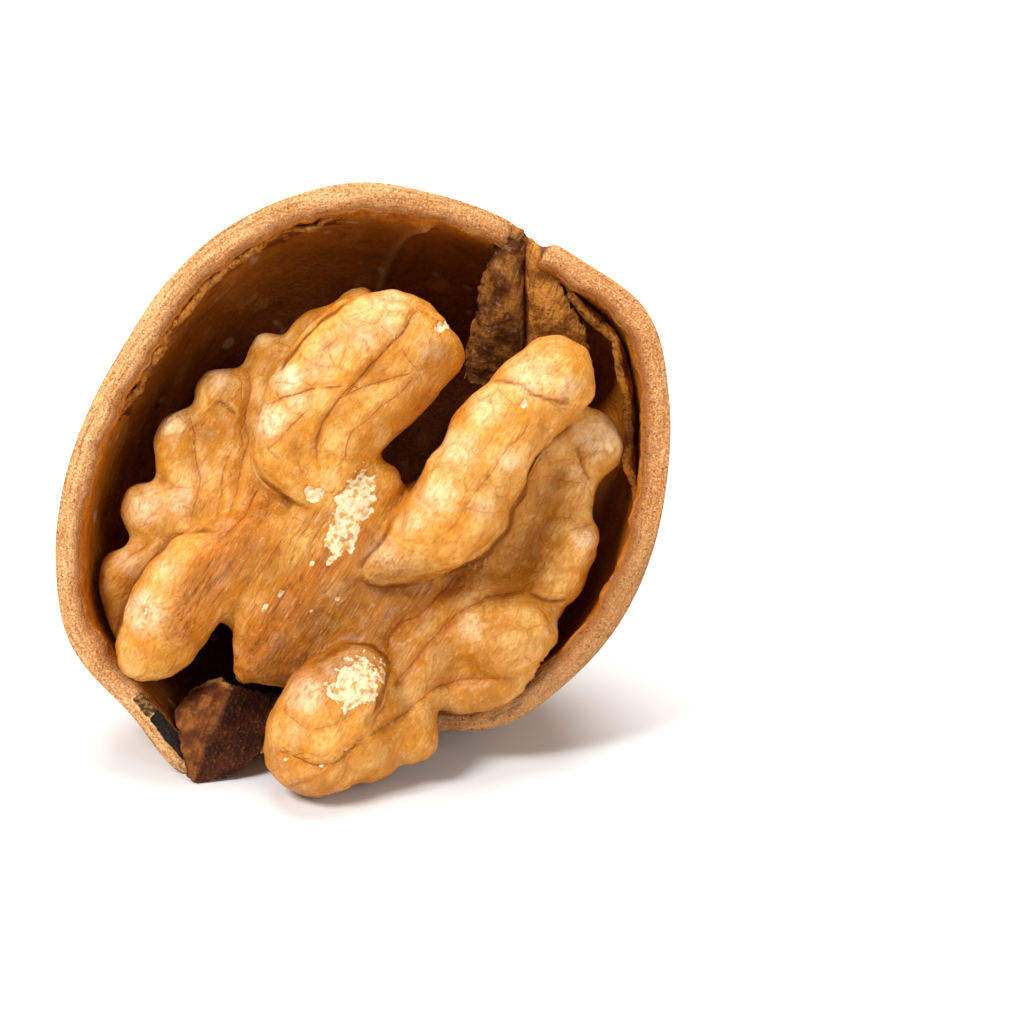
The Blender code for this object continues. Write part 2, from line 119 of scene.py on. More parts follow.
BODY_FOLDS = {
    "wing_top": ((-0.2, 10.7, -4.4, 1.7), (-1.6, 8.4, -4.0, 2.1), (-2.6, 3.8, -3.0, 2.6)),
    "wing_shoulder": ((-3.2, 9.3, -4.2, 1.6), (-3.7, 6.0, -3.5, 2.1), (-4.4, -0.6, -1.8, 2.4)),
    "wing_upper": ((-5.9, 7.8, -4.2, 1.7), (-6.0, 4.6, -3.6, 2.0), (-5.6, -1.8, -1.4, 2.2)),
    "wing_middle": ((-8.9, 5.5, -4.0, 1.7), (-8.3, 2.8, -3.3, 2.0), (-6.8, -2.8, -1.2, 2.1)),
    "wing_bulge": ((-11.5, 2.8, -3.8, 1.8), (-10.8, -0.2, -3.0, 2.1), (-8.4, -3.6, -1.4, 2.2)),
    "wing_knob": ((-13.6, -1.9, -3.4, 1.9), (-11.4, -2.9, -2.6, 2.1), (-8.4, -4.4, -1.0, 2.1)),
    "wing_low": ((-14.2, -10.2, -3.6, 1.8), (-14.6, -8.0, -3.4, 2.0), (-14.8, -6.0, -3.2, 1.9),
                 (-12.2, -5.6, -2.4, 2.1), (-9.0, -5.0, -1.0, 2.2)),
    "wing_hem": ((-0.6, 8.4, -5.0, 1.9), (-4.0, 6.4, -5.0, 1.9), (-6.8, 4.6, -4.9, 1.9), (-9.4, 1.6, -4.6, 1.9),
                 (-11.6, -1.6, -4.2, 1.9), (-13.0, -5.0, -3.9, 1.9)),
    "wing_sheet": ((-2.4, 5.6, -3.8, 2.3), (-5.2, 2.6, -3.4, 2.3), (-8.0, -0.4, -2.9, 2.3), (-10.6, -4.0, -2.3, 2.2)),
    "left_root": ((-1.8, 6.4, -1.6, 3.2), (-2.6, 3.6, -0.4, 3.4), (-2.6, 0.6, 0.0, 3.0), (-3.0, -1.8, 0.6, 2.5)),
    "bridge_ridge": ((1.1, -0.5, 2.0, 1.9), (-0.4, -2.4, 2.2, 2.1), (-2.4, -4.8, 2.1, 2.1),
                     (-4.6, -7.6, 1.5, 2.1), (-6.4, -10.1, 0.8, 1.8), (-7.2, -12.0, 0.2, 1.0)),
    "bridge_slope": ((0.8, -3.8, 1.0, 2.6), (-1.4, -7.0, 0.5, 2.9), (-3.8, -9.6, -0.1, 2.8), (-5.2, -11.0, -0.5, 2.1)),
    "bridge_side": ((3.6, -5.4, 0.4, 2.6), (1.2, -8.2, 0.0, 2.9), (-1.2, -10.6, 0.0, 2.8), (-3.4, -11.6, -0.4, 2.2)),
    "right_root": ((3.6, -2.8, 0.2, 2.7), (6.8, -1.4, -0.6, 3.1), (10.0, 1.6, -1.2, 2.9), (11.6, 4.2, -0.6, 2.6)),
    "right_ear": ((14.4, 2.2, -2.0, 2.2), (12.4, 0.6, -2.2, 2.4), (9.6, -1.6, -1.8, 2.7)),
    "right_rib": ((13.0, -1.1, -2.2, 1.8), (10.0, -2.6, -1.8, 2.4)),
    "right_bump": ((13.1, -4.0, -1.9, 2.1), (11.0, -3.8, -1.8, 2.4), (8.6, -3.8, -1.4, 2.6)),
    "right_step": ((12.4, -5.9, -1.8, 1.9), (10.4, -5.4, -1.5, 2.2), (7.6, -5.2, -1.0, 2.5)),
    "right_hem": ((13.0, 1.4, -3.2, 2.0), (12.2, -1.6, -3.2, 2.0), (11.8, -4.6, -3.0, 2.0), (10.8, -7.6, -2.8, 2.0)),
    "right_sheet": ((8.0, -2.6, -1.6, 2.6), (7.6, -5.2, -1.2, 2.5), (6.0, -8.0, -1.0, 2.4), (4.4, -11.0, -0.8, 2.2)),
    "lobe_neck": ((-0.8, -13.6, 1.6, 2.6), (0.6, -10.4, 0.8, 2.6)),
    "saddle": ((-9.6, -6.2, -0.6, 2.2), (-7.6, -6.9, -0.9, 2.3), (-5.8, -8.2, -0.6, 2.3)),
    "belly_bulge": ((6.4, -9.6, -0.4, 2.7), (8.7, -9.8, -0.1, 3.1), (9.7, -9.5, -0.4, 2.8)),
    "belly_ridge": ((2.2, -12.4, 1.0, 2.0), (3.9, -10.2, 0.6, 2.1), (5.6, -8.2, 0.4, 2.1), (8.2, -7.0, -0.2, 2.0),
                    (11.0, -7.0, -1.2, 1.8)),
    "belly_hem": ((4.6, -12.5, -0.6, 1.7), (6.9, -13.2, 0.1, 1.6), (8.7, -12.8, 0.1, 1.5), (10.4, -11.7, -0.9, 1.6)),
    "front_skirt": ((0.6, -16.8, 1.9, 2.2), (0.9, -14.8, 1.8, 2.4), (1.6, -12.2, 1.0, 2.4)),
    "front_scallop": ((3.5, -15.9, 1.5, 1.7), (2.9, -14.0, 1.3, 2.0), (3.6, -11.6, 0.8, 2.2)),
    "left_back": ((-3.4, 5.6, -7.4, 3.4), (-6.4, 1.6, -8.6, 4.2), (-8.8, -3.6, -7.8, 3.8), (-9.4, -5.6, -5.8, 2.7)),
    "right_back": ((10.0, -1.4, -6.4, 3.2), (8.4, -5.2, -8.0, 4.0), (5.0, -9.4, -7.2, 3.8), (3.4, -11.0, -4.2, 3.0)),
    "bridge_back": ((-4.8, -2.4, -5.0, 3.4), (0.4, -3.8, -5.0, 3.2), (5.0, -5.2, -5.0, 3.6)),
    "bridge_heart": ((-6.0, -4.0, -1.8, 2.8), (-2.0, -5.6, -2.0, 3.2), (2.4, -6.6, -1.8, 3.2), (6.0, -6.4, -2.0, 2.8)),
}
LOBULES = 7
LOBULE_REACH = 4.2
LOBULE_RADIUS = 1.5
CLEARANCE = 0.45

# Veins and creases pressed into the kernel's face: depth, then the points that the line runs through.
VEINS = (
    # The fat fold of the left lobe.
    (0.26, ((3.9, 10.6), (2.6, 8.8), (1.6, 7.6), (0.2, 6.2), (-1.2, 4.6), (-2.2, 3.2), (-2.6, 1.8), (-2.6, 1.1))),
    (0.16, ((3.4, 6.5), (1.6, 6.0), (0.2, 5.5), (-0.8, 4.8))),
    (0.10, ((2.8, 8.1), (3.3, 7.1), (4.0, 6.2), (4.0, 5.6))),
    (0.13, ((3.9, 6.5), (2.6, 5.3), (0.9, 3.9), (-0.3, 2.9), (-0.8, 1.7), (-0.7, 1.0))),
    (0.17, ((-5.5, 4.6), (-4.1, 5.1), (-2.4, 5.6), (-0.8, 5.6))),
    (0.13, ((-2.9, 4.3), (-4.1, 3.1), (-5.4, 1.8))),
    (0.12, ((3.9, 10.6), (4.9, 9.8), (5.2, 9.4))),
    (0.09, ((0.7, 11.7), (0.9, 10.5), (-0.5, 9.7), (-1.2, 8.6), (-2.1, 7.9), (-2.4, 6.5))),
    (0.07, ((-0.5, 9.7), (1.6, 9.3), (2.3, 8.6))),
    (0.08, ((-3.3, 3.2), (-3.8, 1.5), (-3.2, 0.2))),
    # The scalloped wing of the left lobe.
    (0.13, ((-7.4, 7.4), (-7.0, 5.8), (-7.3, 4.2), (-7.1, 2.6), (-7.4, 1.2), (-7.6, -0.4), (-8.1, -1.8), (-8.3, -3.3))),
    (0.14, ((-8.0, 2.0), (-8.6, 0.6), (-8.8, -1.0), (-9.0, -2.4))),
    (0.11, ((-10.6, 3.0), (-10.4, 1.4), (-10.0, 0.2), (-10.3, -1.5), (-10.8, -2.9))),
    (0.22, ((-6.4, -0.5), (-7.1, -1.9), (-7.8, -3.1), (-8.4, -3.6))),
    (0.12, ((-5.8, -0.5), (-5.7, -1.9), (-6.4, -3.1))),
    (0.10, ((-10.9, 4.2), (-10.5, 3.0), (-10.4, 2.1))),
    (0.14, ((-13.2, -3.8), (-14.4, -4.6), (-15.2, -5.2))),
    (0.08, ((-13.2, -4.8), (-13.0, -5.8), (-13.2, -6.9))),
    (0.12, ((-12.8, -4.8), (-11.8, -3.8), (-10.6, -3.2), (-8.6, -3.1))),
    (0.07, ((-8.5, -3.2), (-9.5, -4.3), (-9.9, -5.8), (-10.2, -7.1))),
    (0.10, ((-5.0, 7.6), (-4.7, 6.2), (-4.9, 5.0))),
    (0.09, ((-2.6, 10.2), (-2.9, 9.2), (-3.2, 8.4))),
    # The bridge.
    (0.07, ((-3.4, -1.4), (-4.6, -3.4), (-5.8, -5.6), (-6.6, -8.2), (-7.2, -10.8))),
    (0.06, ((-1.2, -3.8), (-2.8, -5.8), (-4.6, -8.4), (-6.4, -11.0))),
    (0.06, ((0.4, -4.8), (-1.0, -6.8), (-2.8, -9.0), (-4.6, -11.2))),
    (0.05, ((2.2, -6.2), (0.6, -8.0), (-1.6, -10.0))),
    # The front fold of the right lobe.
    (0.10, ((8.3, 6.1), (9.5, 5.9), (10.3, 5.2), (11.4, 4.9), (12.6, 4.3), (13.7, 4.1))),
    (0.08, ((13.2, 7.9), (13.5, 6.9), (13.0, 5.7), (12.6, 5.1))),
    (0.06, ((7.1, 5.7), (7.4, 4.9), (8.7, 4.7), (10.3, 4.5))),
    (0.11, ((10.9, 4.1), (10.1, 2.8), (9.1, 1.6), (8.1, 0.2), (7.1, -1.1), (6.2, -2.5), (5.4, -3.3))),
    (0.08, ((5.8, -1.3), (6.8, -1.7), (7.8, -2.0), (9.3, -1.9))),
    (0.07, ((8.1, -0.6), (8.9, -1.1), (9.9, -1.0))),
    (0.05, ((5.0, 2.9), (6.2, 3.4), (7.1, 4.3))),
    (0.09, ((2.6, -1.5), (2.8, -2.3), (2.6, -3.1))),
    # The wing and belly of the right lobe.
    (0.07, ((13.8, 1.8), (13.9, 0.8), (14.4, 0.1))),
    (0.11, ((13.2, -3.2), (13.8, -3.0), (14.4, -2.7))),
    (0.17, ((6.2, -5.6), (5.4, -6.7), (4.1, -8.0), (2.6, -9.0), (1.9, -9.9), (1.8, -10.6))),
    (0.13, ((10.3, -6.8), (8.8, -6.9), (7.4, -7.6), (6.0, -8.4), (4.4, -10.0), (3.5, -11.1), (2.5, -12.5))),
    (0.13, ((12.4, -7.6), (11.4, -7.4), (10.3, -6.8))),
    (0.13, ((9.9, -12.4), (7.9, -12.3), (6.0, -12.5), (4.8, -13.0), (3.7, -13.7), (2.6, -14.6), (1.2, -15.5), (0.1, -16.2))),
    (0.10, ((11.3, -8.0), (12.0, -9.0), (12.3, -9.8))),
    (0.06, ((7.6, -9.0), (7.9, -9.6), (7.6, -10.4), (8.1, -11.1))),
    (0.13, ((6.3, -8.6), (4.8, -9.7), (3.7, -11.0), (2.6, -12.2), (1.8, -13.7), (0.7, -15.8))),
    # The front lobe.
    (0.20, ((-5.2, -16.5), (-3.7, -17.1), (-2.2, -17.5), (-0.8, -17.3), (-0.1, -16.4), (0.6, -15.8))),
    (0.07, ((-5.1, -15.6), (-4.2, -16.3), (-3.2, -16.7), (-1.9, -16.9))),
    (0.12, ((-4.4, -19.0), (-3.0, -18.5), (-1.7, -17.8), (-0.2, -16.6))),
    (0.10, ((-4.6, -14.0), (-3.8, -14.8), (-2.5, -15.3), (-1.1, -14.8), (0.4, -14.0))),
    (0.10, ((-0.9, -19.0), (-0.6, -18.0), (-0.3, -17.2), (0.0, -16.5))),
)
VEIN_WIDTH = 0.25

# Where one fold laps over what lies beside it: the drop, how far the lower side takes to come up
# again, and the line, with the raised fold on its left.
STEPS = (
    (0.45, 0.9, ((2.9, -0.2), (2.7, -1.8), (2.0, -3.1), (1.2, -4.2), (0.5, -5.1), (0.1, -5.9))),
    (1.25, 1.5, ((0.1, -5.6), (0.4, -6.1), (1.0, -6.4), (1.9, -6.5), (3.0, -6.4), (4.5, -5.9), (6.0, -5.5), (7.6, -4.9), (8.5, -3.9), (9.3, -2.8),
                 (9.4, -1.8), (10.0, -1.1), (10.2, -0.6), (10.5, 0.5), (10.9, 1.4), (11.8, 2.5), (13.1, 3.3),
                 (13.9, 4.2), (14.5, 5.2))),
    (0.75, 1.0, ((0.6, 11.7), (-0.6, 10.9), (-1.4, 10.1), (-3.1, 8.9), (-4.1, 7.6), (-5.4, 6.1), (-5.8, 5.0),
                 (-6.1, 4.0), (-6.5, 2.8), (-6.4, 1.4), (-5.9, 0.1), (-4.8, -1.0), (-3.4, -1.6), (-2.2, -2.0))),
    (0.9, 1.2, ((0.1, -14.9), (1.1, -14.2), (1.5, -13.2), (1.8, -11.8), (1.5, -11.1), (0.6, -10.4), (-0.8, -10.4),
                (-2.1, -11.1), (-3.3, -11.6), (-4.3, -12.8), (-5.2, -13.9), (-6.0, -15.3))),
    (0.25, 0.4, ((13.6, 2.5), (13.8, 1.6), (14.1, 0.6), (14.5, -0.1))),
    (0.32, 0.4, ((13.9, 4.2), (12.5, 4.7), (11.4, 4.9), (10.6, 5.2), (10.0, 5.8), (9.4, 5.9), (8.6, 6.0), (7.6, 5.5))),
    (0.75, 0.9, ((-8.5, -3.3), (-9.7, -3.1), (-10.6, -3.3), (-11.4, -3.6), (-12.2, -4.2), (-12.8, -4.9),
                 (-13.4, -5.6), (-14.1, -6.5), (-14.8, -7.9), (-15.3, -9.6), (-15.4, -10.9))),
    (0.3, 0.6, ((-9.0, 5.2), (-8.4, 4.6), (-7.8, 4.2))),
    (0.35, 0.8, ((10.5, -6.9), (11.4, -7.4), (12.3, -7.5), (12.9, -7.2))),
)

# Smooth hollows (negative) and domes between the veins: x, y, radius and height.
SWELLS = (
    (1.9, 10.4, 1.7, 0.22), (-0.6, 8.6, 2.0, 0.34), (4.6, 8.1, 1.5, 0.30), (-4.3, 6.1, 1.2, 0.34),
    (-5.1, 3.4, 1.5, 0.38), (-3.6, 1.4, 1.5, 0.20), (-0.1, 3.8, 1.0, 0.22), (2.3, 3.9, 1.2, 0.16),
    (1.6, 6.6, 0.8, -0.22), (-2.0, 3.4, 0.7, -0.18),
    (-12.0, 3.7, 1.5, 0.40), (-8.7, 6.1, 1.5, 0.28), (-13.8, -1.5, 1.7, 0.42), (-15.4, -4.8, 1.6, 0.22),
    (-11.0, -1.3, 0.9, 0.16), (-9.3, 3.0, 1.2, -0.60), (-9.7, -2.3, 1.0, -0.50), (-5.2, 8.6, 1.2, 0.22),
    (-6.6, -4.2, 1.6, -0.25), (-11.8, -1.6, 0.7, -0.12), (-7.2, 8.0, 0.7, -0.35), (-11.2, 5.3, 0.6, -0.3),
    (-14.3, 0.7, 0.7, -0.3), (-15.6, -3.0, 0.6, -0.3),
    (12.3, -6.0, 1.7, 0.34), (13.3, -3.7, 1.4, 0.26), (10.0, -9.8, 2.2, 0.34), (15.0, 2.6, 1.5, 0.30),
    (13.9, -1.6, 1.2, 0.22), (11.6, 0.0, 1.6, -0.50), (10.2, -4.2, 1.5, -0.75), (8.6, -6.4, 1.1, -0.30),
    (7.4, -9.4, 0.9, 0.20), (6.6, -11.2, 1.4, -0.25), (5.0, -7.6, 0.9, 0.22), (3.8, -9.4, 0.8, 0.18),
    (8.6, -12.8, 1.2, 0.22), (6.0, 1.2, 1.6, 0.22), (8.4, 3.8, 1.4, 0.24), (9.6, 1.6, 1.0, 0.16),
    (4.0, -3.4, 1.3, 0.26), (7.6, -3.0, 1.2, 0.20), (11.6, 7.0, 1.6, 0.24), (12.9, 6.3, 1.0, 0.18),
    (7.8, 0.0, 0.7, -0.20), (-12.2, -8.2, 1.5, 0.30), (-13.0, -10.4, 1.4, 0.18), (-9.6, -4.9, 1.2, 0.26),
    (-1.0, -12.6, 1.3, 0.20), (-2.8, -14.6, 1.5, 0.26), (-4.2, -16.0, 1.2, 0.20), (-2.6, -18.3, 1.2, 0.22),
    (1.6, -16.4, 1.0, 0.18), (3.6, -16.4, 0.8, 0.22), (2.4, -17.6, 0.6, -0.2), (-1.6, -9.2, 1.8, -0.25),
)

# Broad valleys: depth, width and the line.
VALLEYS = (
    (0.42, 0.75, ((6.2, -5.6), (5.7, -6.3), (4.8, -7.3), (3.6, -8.3), (2.5, -9.1), (2.0, -9.9), (1.8, -11.0))),
    (0.24, 0.50, ((12.2, -7.6), (10.3, -6.8), (8.9, -6.9), (7.6, -7.3), (6.8, -7.9), (5.8, -9.0), (4.4, -10.1),
                  (3.6, -11.0), (2.8, -12.1), (2.0, -13.4))),
    (0.26, 0.45, ((10.2, -12.5), (9.1, -12.4), (7.1, -12.4), (5.6, -12.5), (4.3, -12.9), (3.4, -13.5),
                  (2.5, -14.4), (1.4, -15.3), (0.2, -16.2))),
    (0.80, 1.50, ((12.6, 1.6), (11.6, 0.0), (10.8, -2.5), (10.1, -5.0), (9.4, -6.9))),
    (0.35, 0.50, ((-13.0, 0.4), (-11.9, -0.6), (-11.3, -1.6), (-10.6, -2.6))),
    (0.30, 0.50, ((-7.2, 8.0), (-7.0, 6.4), (-7.2, 4.0), (-7.4, 1.6), (-8.0, -1.2))),
    (0.25, 0.45, ((-5.2, 0.0), (-4.4, -2.2), (-4.8, -4.6), (-6.4, -7.4))),
    (0.20, 0.40, ((-2.0, -1.4), (-2.6, -3.6), (-3.8, -6.0), (-5.6, -9.2), (-6.6, -11.4))),
)

# Painted highlights: paler patches of skin on the crowns of the folds, where the light glints: x, y, radius and
# strength.
HIGHLIGHT_SPOTS = (
    (-4.3, 6.1, 1.1, 0.85), (-5.4, 3.6, 1.2, 0.85), (1.9, 10.9, 1.2, 0.50), (0.4, 8.9, 1.5, 0.50), (4.4, 8.2, 1.0, 0.40),
    (-3.6, 4.7, 1.0, 0.45), (-2.4, 6.9, 1.1, 0.45), (-13.2, -8.2, 1.4, 0.80), (-11.8, -5.4, 1.0, 0.40),
    (10.8, 6.4, 1.6, 0.60), (8.0, 4.4, 1.3, 0.50), (6.2, 1.8, 1.6, 0.50), (12.9, 5.6, 0.8, 0.55), (4.9, -1.2, 1.4, 0.55),
    (1.6, -4.6, 1.2, 0.50), (9.4, 1.2, 0.8, 0.55), (7.7, -1.6, 1.0, 0.45), (-12.0, 3.9, 1.3, 0.60), (-9.0, 6.4, 1.1, 0.45),
    (-13.4, -1.6, 1.4, 0.60), (-10.4, 0.4, 1.0, 0.35), (-14.6, -5.0, 1.3, 0.40), (15.0, 2.6, 1.6, 0.60),
    (14.0, -3.6, 0.8, 0.80), (13.6, 0.6, 0.7, 0.45), (14.2, -0.4, 0.6, 0.45), (7.0, -9.2, 1.0, 0.60),
    (9.4, -9.2, 1.6, 0.12), (12.0, -9.4, 0.6, 0.30), (-11.2, -1.3, 1.2, 0.50), (1.8, 9.6, 1.2, 0.45), (-1.6, 8.2, 1.0, 0.45), (-0.2, -11.4, 1.1, 0.45), (-3.0, -13.2, 1.4, 0.60), (-3.8, -15.4, 1.1, 0.30),
    (-1.4, -12.0, 1.0, 0.35), (2.6, 6.0, 0.8, 0.25), (3.2, -2.6, 1.0, 0.40), (-6.4, 9.0, 0.9, 0.35),
)

# Browner patches: the skin's own darker brown, and painted shade on the shaded right flanks of the folds and under the
# bridge: x, y, radius and strength.
BROWN_AND_SHADE_SPOTS = (
    (5.0, 7.0, 1.9, 0.60), (3.8, 5.2, 1.6, 0.60), (2.3, 3.6, 1.6, 0.50), (0.4, 2.2, 1.3, 0.45), (-0.9, 4.0, 0.9, 0.35),
    (9.6, -9.8, 2.2, 0.32), (7.6, -11.4, 1.8, 0.50), (-9.6, -7.0, 1.4, 0.35), (7.4, -13.4, 2.0, 0.55), (-1.4, -10.8, 1.8, 1.0), (-4.6, -10.8, 2.0, 0.95), (5.4, -12.4, 1.4, 0.55), (13.2, 3.4, 1.0, 0.35), (11.0, 5.2, 0.7, 0.30),
    (6.2, -13.6, 1.6, 0.45), (-3.0, -19.6, 2.0, 0.40),
    (-5.6, -17.6, 1.2, 0.30), (-7.4, 3.4, 1.0, 0.45), (-8.8, -2.9, 0.8, 0.40), (11.6, 2.2, 1.2, 0.35), (-15.6, -9.0, 1.2, 0.35),
    (-3.2, -9.2, 4.2, 0.75), (0.4, -8.2, 3.6, 0.85), (3.0, -7.4, 2.6, 0.80), (5.6, -7.0, 2.0, 0.45), (8.6, -5.6, 2.4, 0.35),
    (10.6, -3.0, 2.4, 0.20), (12.0, 0.0, 2.0, 0.20), (4.4, -13.0, 2.6, 0.40), (0.4, -4.6, 2.0, 0.35),
    (-7.0, -5.0, 2.0, 0.45), (1.0, 3.0, 1.4, 0.30), (5.0, -10.4, 2.0, 0.45),
)

# Where the skin is the bridge's own, with long strands.
BRIDGE = (
    (-3.2, -9.2, 4.4, 1.0), (0.4, -8.2, 4.0, 1.0), (3.4, -7.6, 3.0, 1.0), (-2.0, -4.4, 2.6, 1.0), (-9.4, -6.4, 1.8, 0.9),
    (-6.4, -5.0, 2.0, 0.8), (0.0, -1.0, 2.2, 0.6),
)

# Where the skin is rubbed off and the pale flesh shows: x, y, the two reaches, and the turn in degrees.
CHIPS = (
    (-0.4, -2.1, 2.9, 1.05, 66), (-2.8, -0.9, 0.62, 0.5, 20), (0.1, -12.5, 1.75, 1.45, 40),
    (5.2, 9.4, 0.46, 0.34, 30), (10.3, 4.7, 0.34, 0.22, 60), (-4.8, -7.1, 0.30, 0.2, 50),
    (-5.8, -7.9, 0.34, 0.18, 60), (-1.7, -5.1, 0.34, 0.2, 50), (-2.9, -5.2, 0.26, 0.16, 40),
    (-0.5, -16.6, 0.18, 0.14, 0), (-4.4, -17.2, 0.22, 0.14, 0), (-2.1, -17.6, 0.16, 0.12, 0),
    (-0.3, -19.2, 0.7, 0.16, 20), (-13.3, -8.1, 0.26, 0.18, 70), (-1.3, -7.4, 0.2, 0.12, 40),
    (-9.3, -6.2, 0.16, 0.12, 0), (-4.0, -9.9, 0.18, 0.1, 60), (-2.9, -8.1, 0.18, 0.1, 50),
)

STEM_WEB = (
    ((8.7, 14.9, -1.0), (7.8, 12.9, -2.8), (7.4, 10.8, -4.2), (6.8, 8.6, -6.0), (6.6, 6.6, -8.0)),
    ((9.9, 15.7, -0.5), (9.0, 12.8, -1.7), (8.7, 10.6, -3.0), (8.3, 8.4, -5.0), (7.6, 6.2, -7.4)),
    ((10.4, 15.2, -0.8), (10.3, 12.6, -2.3), (10.4, 10.4, -3.6), (10.2, 8.4, -5.4), (9.2, 6.0, -8.0)),
    ((11.1, 14.4, -0.6), (11.6, 12.3, -1.6), (11.9, 10.3, -2.7), (11.8, 8.6, -4.6), (10.8, 6.2, -7.0)),
    ((12.0, 13.2, -1.1), (13.0, 11.3, -2.1), (14.0, 9.5, -3.2), (14.5, 7.6, -5.0), (13.4, 6.0, -7.6)),
)
TIP_WEB = (
    ((-10.6, -18.3, 0.3), (-11.2, -16.2, 0.0), (-11.4, -14.6, -0.5), (-10.6, -13.4, -2.0)),
    ((-10.4, -18.6, 0.4), (-10.1, -16.4, 0.4), (-9.5, -14.4, 0.2), (-8.8, -12.6, -0.7)),
    ((-10.3, -18.8, 0.5), (-9.4, -16.5, 1.0), (-8.6, -14.6, 1.1), (-7.9, -12.9, 0.7)),
    ((-9.4, -18.7, 0.4), (-8.2, -16.6, 0.6), (-7.2, -14.8, 0.1), (-6.3, -13.3, -0.8)),
    ((-8.4, -18.4, 0.3), (-6.5, -17.2, 0.2), (-5.4, -14.9, -1.0), (-4.8, -13.6, -2.4)),
)

# The lining that stands off the wall inside the rim: start and end in degrees, then at five even
# stations the sink of its broken edge and its gap from the wall.
LININGS = {
    "lining_left": (106, 166, (0.10, 0.05, 0.10, 0.15, 0.45), (0.25, 0.05, 0.0, 0.05, 0.35), 0.50),
    "lining_top": (92, 109, (0.5, 0.3, 0.3, 0.3, 0.4), (0.10, 0.25, 0.35, 0.35, 0.15), 0.35),
    "lining_right": (-6, 47, (0.9, 1.4, 1.6, 1.6, 0.8), (0.20, 0.55, 0.70, 0.75, 0.30), 0.50),
}


def linear(code, alpha=1.0):
    """An sRGB hex colour as linear red, green, blue and alpha."""
    values = [int(code[k:k + 2], 16) / 255 for k in (1, 3, 5)]
    return (*(v / 12.92 if v <= 0.04045 else ((v + 0.055) / 1.055) ** 2.4 for v in values), alpha)


def add_node(tree, kind, inputs, output=0, **settings):
    """Adds a node with its settings and returns an output; an input is a number, a hex colour or an output."""
    node = tree.nodes.new(kind)
    for name, value in settings.items():
        setattr(node, name, value)
    for socket, value in inputs.items():
        if isinstance(value, bpy.types.NodeSocket):
            tree.links.new(value, node.inputs[socket])
        else:
            node.inputs[socket].default_value = linear(value) if isinstance(value, str) else value
    return node.outputs[output]


# The nut's outline and wall, as in the solids.


def around(values, angle):
    place = (angle / math.tau) % 1.0 * len(values)
    start = int(place)
    share = place - start
    a, b, c, d = (values[(start + k) % len(values)] for k in (-1, 0, 1, 2))
    bend = 3 * (b - c) + d - a
    return b + 0.5 * share * (c - a + share * (2 * a - 5 * b + 4 * c - d + share * bend))


def bump(distance, spread):
    return math.exp(-((distance / spread) ** 2))


def eased(value, low, high):
    """0 below low, 1 above high, and smooth between."""
    share = min(1.0, max(0.0, (value - low) / (high - low)))
    return share * share * (3 - 2 * share)


def angle_between(a, b):
    return (a - b + math.pi) % math.tau - math.pi


def crack(angle):
    turn = angle_between(angle, NOTCH_ANGLE)
    return bump(turn, NOTCH_SPREADS[turn < 0])


def rim_height(angle):
    return around(RIM_HEIGHT, angle) - NOTCH * crack(angle)


def wall_reach(angle, sink, inset):
    rounding = sink * sink
    belly = BELLY_REACH + SWELL * bump(angle_between(angle, SWELL_ANGLE), SWELL_SPREAD)
    reach = (around(RIM_REACH, angle) - KEEL) * (1 - rounding) + belly * rounding
    return (reach - inset) * (1 - sink**PROFILE) ** (1 / PROFILE)


def beak(angle, depth):
    turn = angle_between(angle, BEAK_ANGLE)
    return BEAK * bump(turn, BEAK_SPREADS[turn > 0]) * bump(depth, BEAK_DEPTH)


def wall_point(angle, sink, inset):
    reach = wall_reach(angle, sink, inset)
    depth = (DEPTH - inset) * sink - rim_height(angle) * (1 - sink) ** RIM_FADE
    return Vector((reach * math.cos(angle), reach * math.sin(angle), -depth))


def rested(point, height):
    up = Vector((0.0, math.cos(LEAN), math.sin(LEAN)))
    short = height - RIM_MIDDLE.z / MM - point.dot(up)
    return point + up * max(0.0, short)


def kept_clear(point, gap):
    """Brings a point inside the shell back to a gap from its wall where it would come nearer."""
    angle = math.atan2(point.y, point.x)
    inset = WALL + gap
    if point.z > rim_height(angle) + gap + 0.15:
        return rested(point, 0.1)
    sink = min(max(0.0, -point.z) / (DEPTH - inset), 0.995)
    limit = wall_reach(angle, sink, inset) + beak(angle, -point.z)
    share = min(1.0, limit / max(math.hypot(point.x, point.y), 1e-6))
    inside = Vector((point.x * share, point.y * share, max(point.z, inset - DEPTH)))
    return rested(inside, inset)


def along_grain(point, length, width):
    """The point in a frame drawn out along the nut from its tip to its stem end."""
    turned = point.copy()
    turned.rotate(Matrix.Rotation(-GRAIN_ANGLE, 3, "Z"))
    return Vector((turned.x / length, turned.y / width, turned.z / width))


def to_place(mesh):
    """Stands a mesh up from the face frame in millimetres to the model's frame, inside the solids' box."""
    stand = Matrix.Translation(RIM_MIDDLE) @ Matrix.Rotation(math.pi / 2 - LEAN, 4, "X")
    mesh.transform(stand @ Matrix.Scale(MM, 4))
    held = np.clip(mesh_points(mesh), CAD_BOX[0], CAD_BOX[1])
    mesh.vertices.foreach_set("co", held.astype(np.float32).ravel())
    mesh.update()


def add_piece(name, mesh, material, slot, *nodes):
    """A finished piece that rides on the nut, and the solids that it stands for."""
    to_place(mesh)
    mesh.shade_smooth()
    mesh.materials.append(material)
    piece = bpy.data.objects.new(name, mesh)
    bpy.context.scene.collection.objects.link(piece)
    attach(piece, "root")
    if nodes:
        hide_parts(*nodes)
    return piece


def set_values(mesh, name, values):
    """Stores one number for each vertex, for the material to read."""
    mesh.attributes.new(name, "FLOAT", "POINT").data.foreach_set("value", np.asarray(values, dtype=np.float32))


def set_vectors(mesh, name, vectors):
    flat = np.asarray(vectors, dtype=np.float32).ravel()
    mesh.attributes.new(name, "FLOAT_VECTOR", "POINT").data.foreach_set("vector", flat)


# The shell.


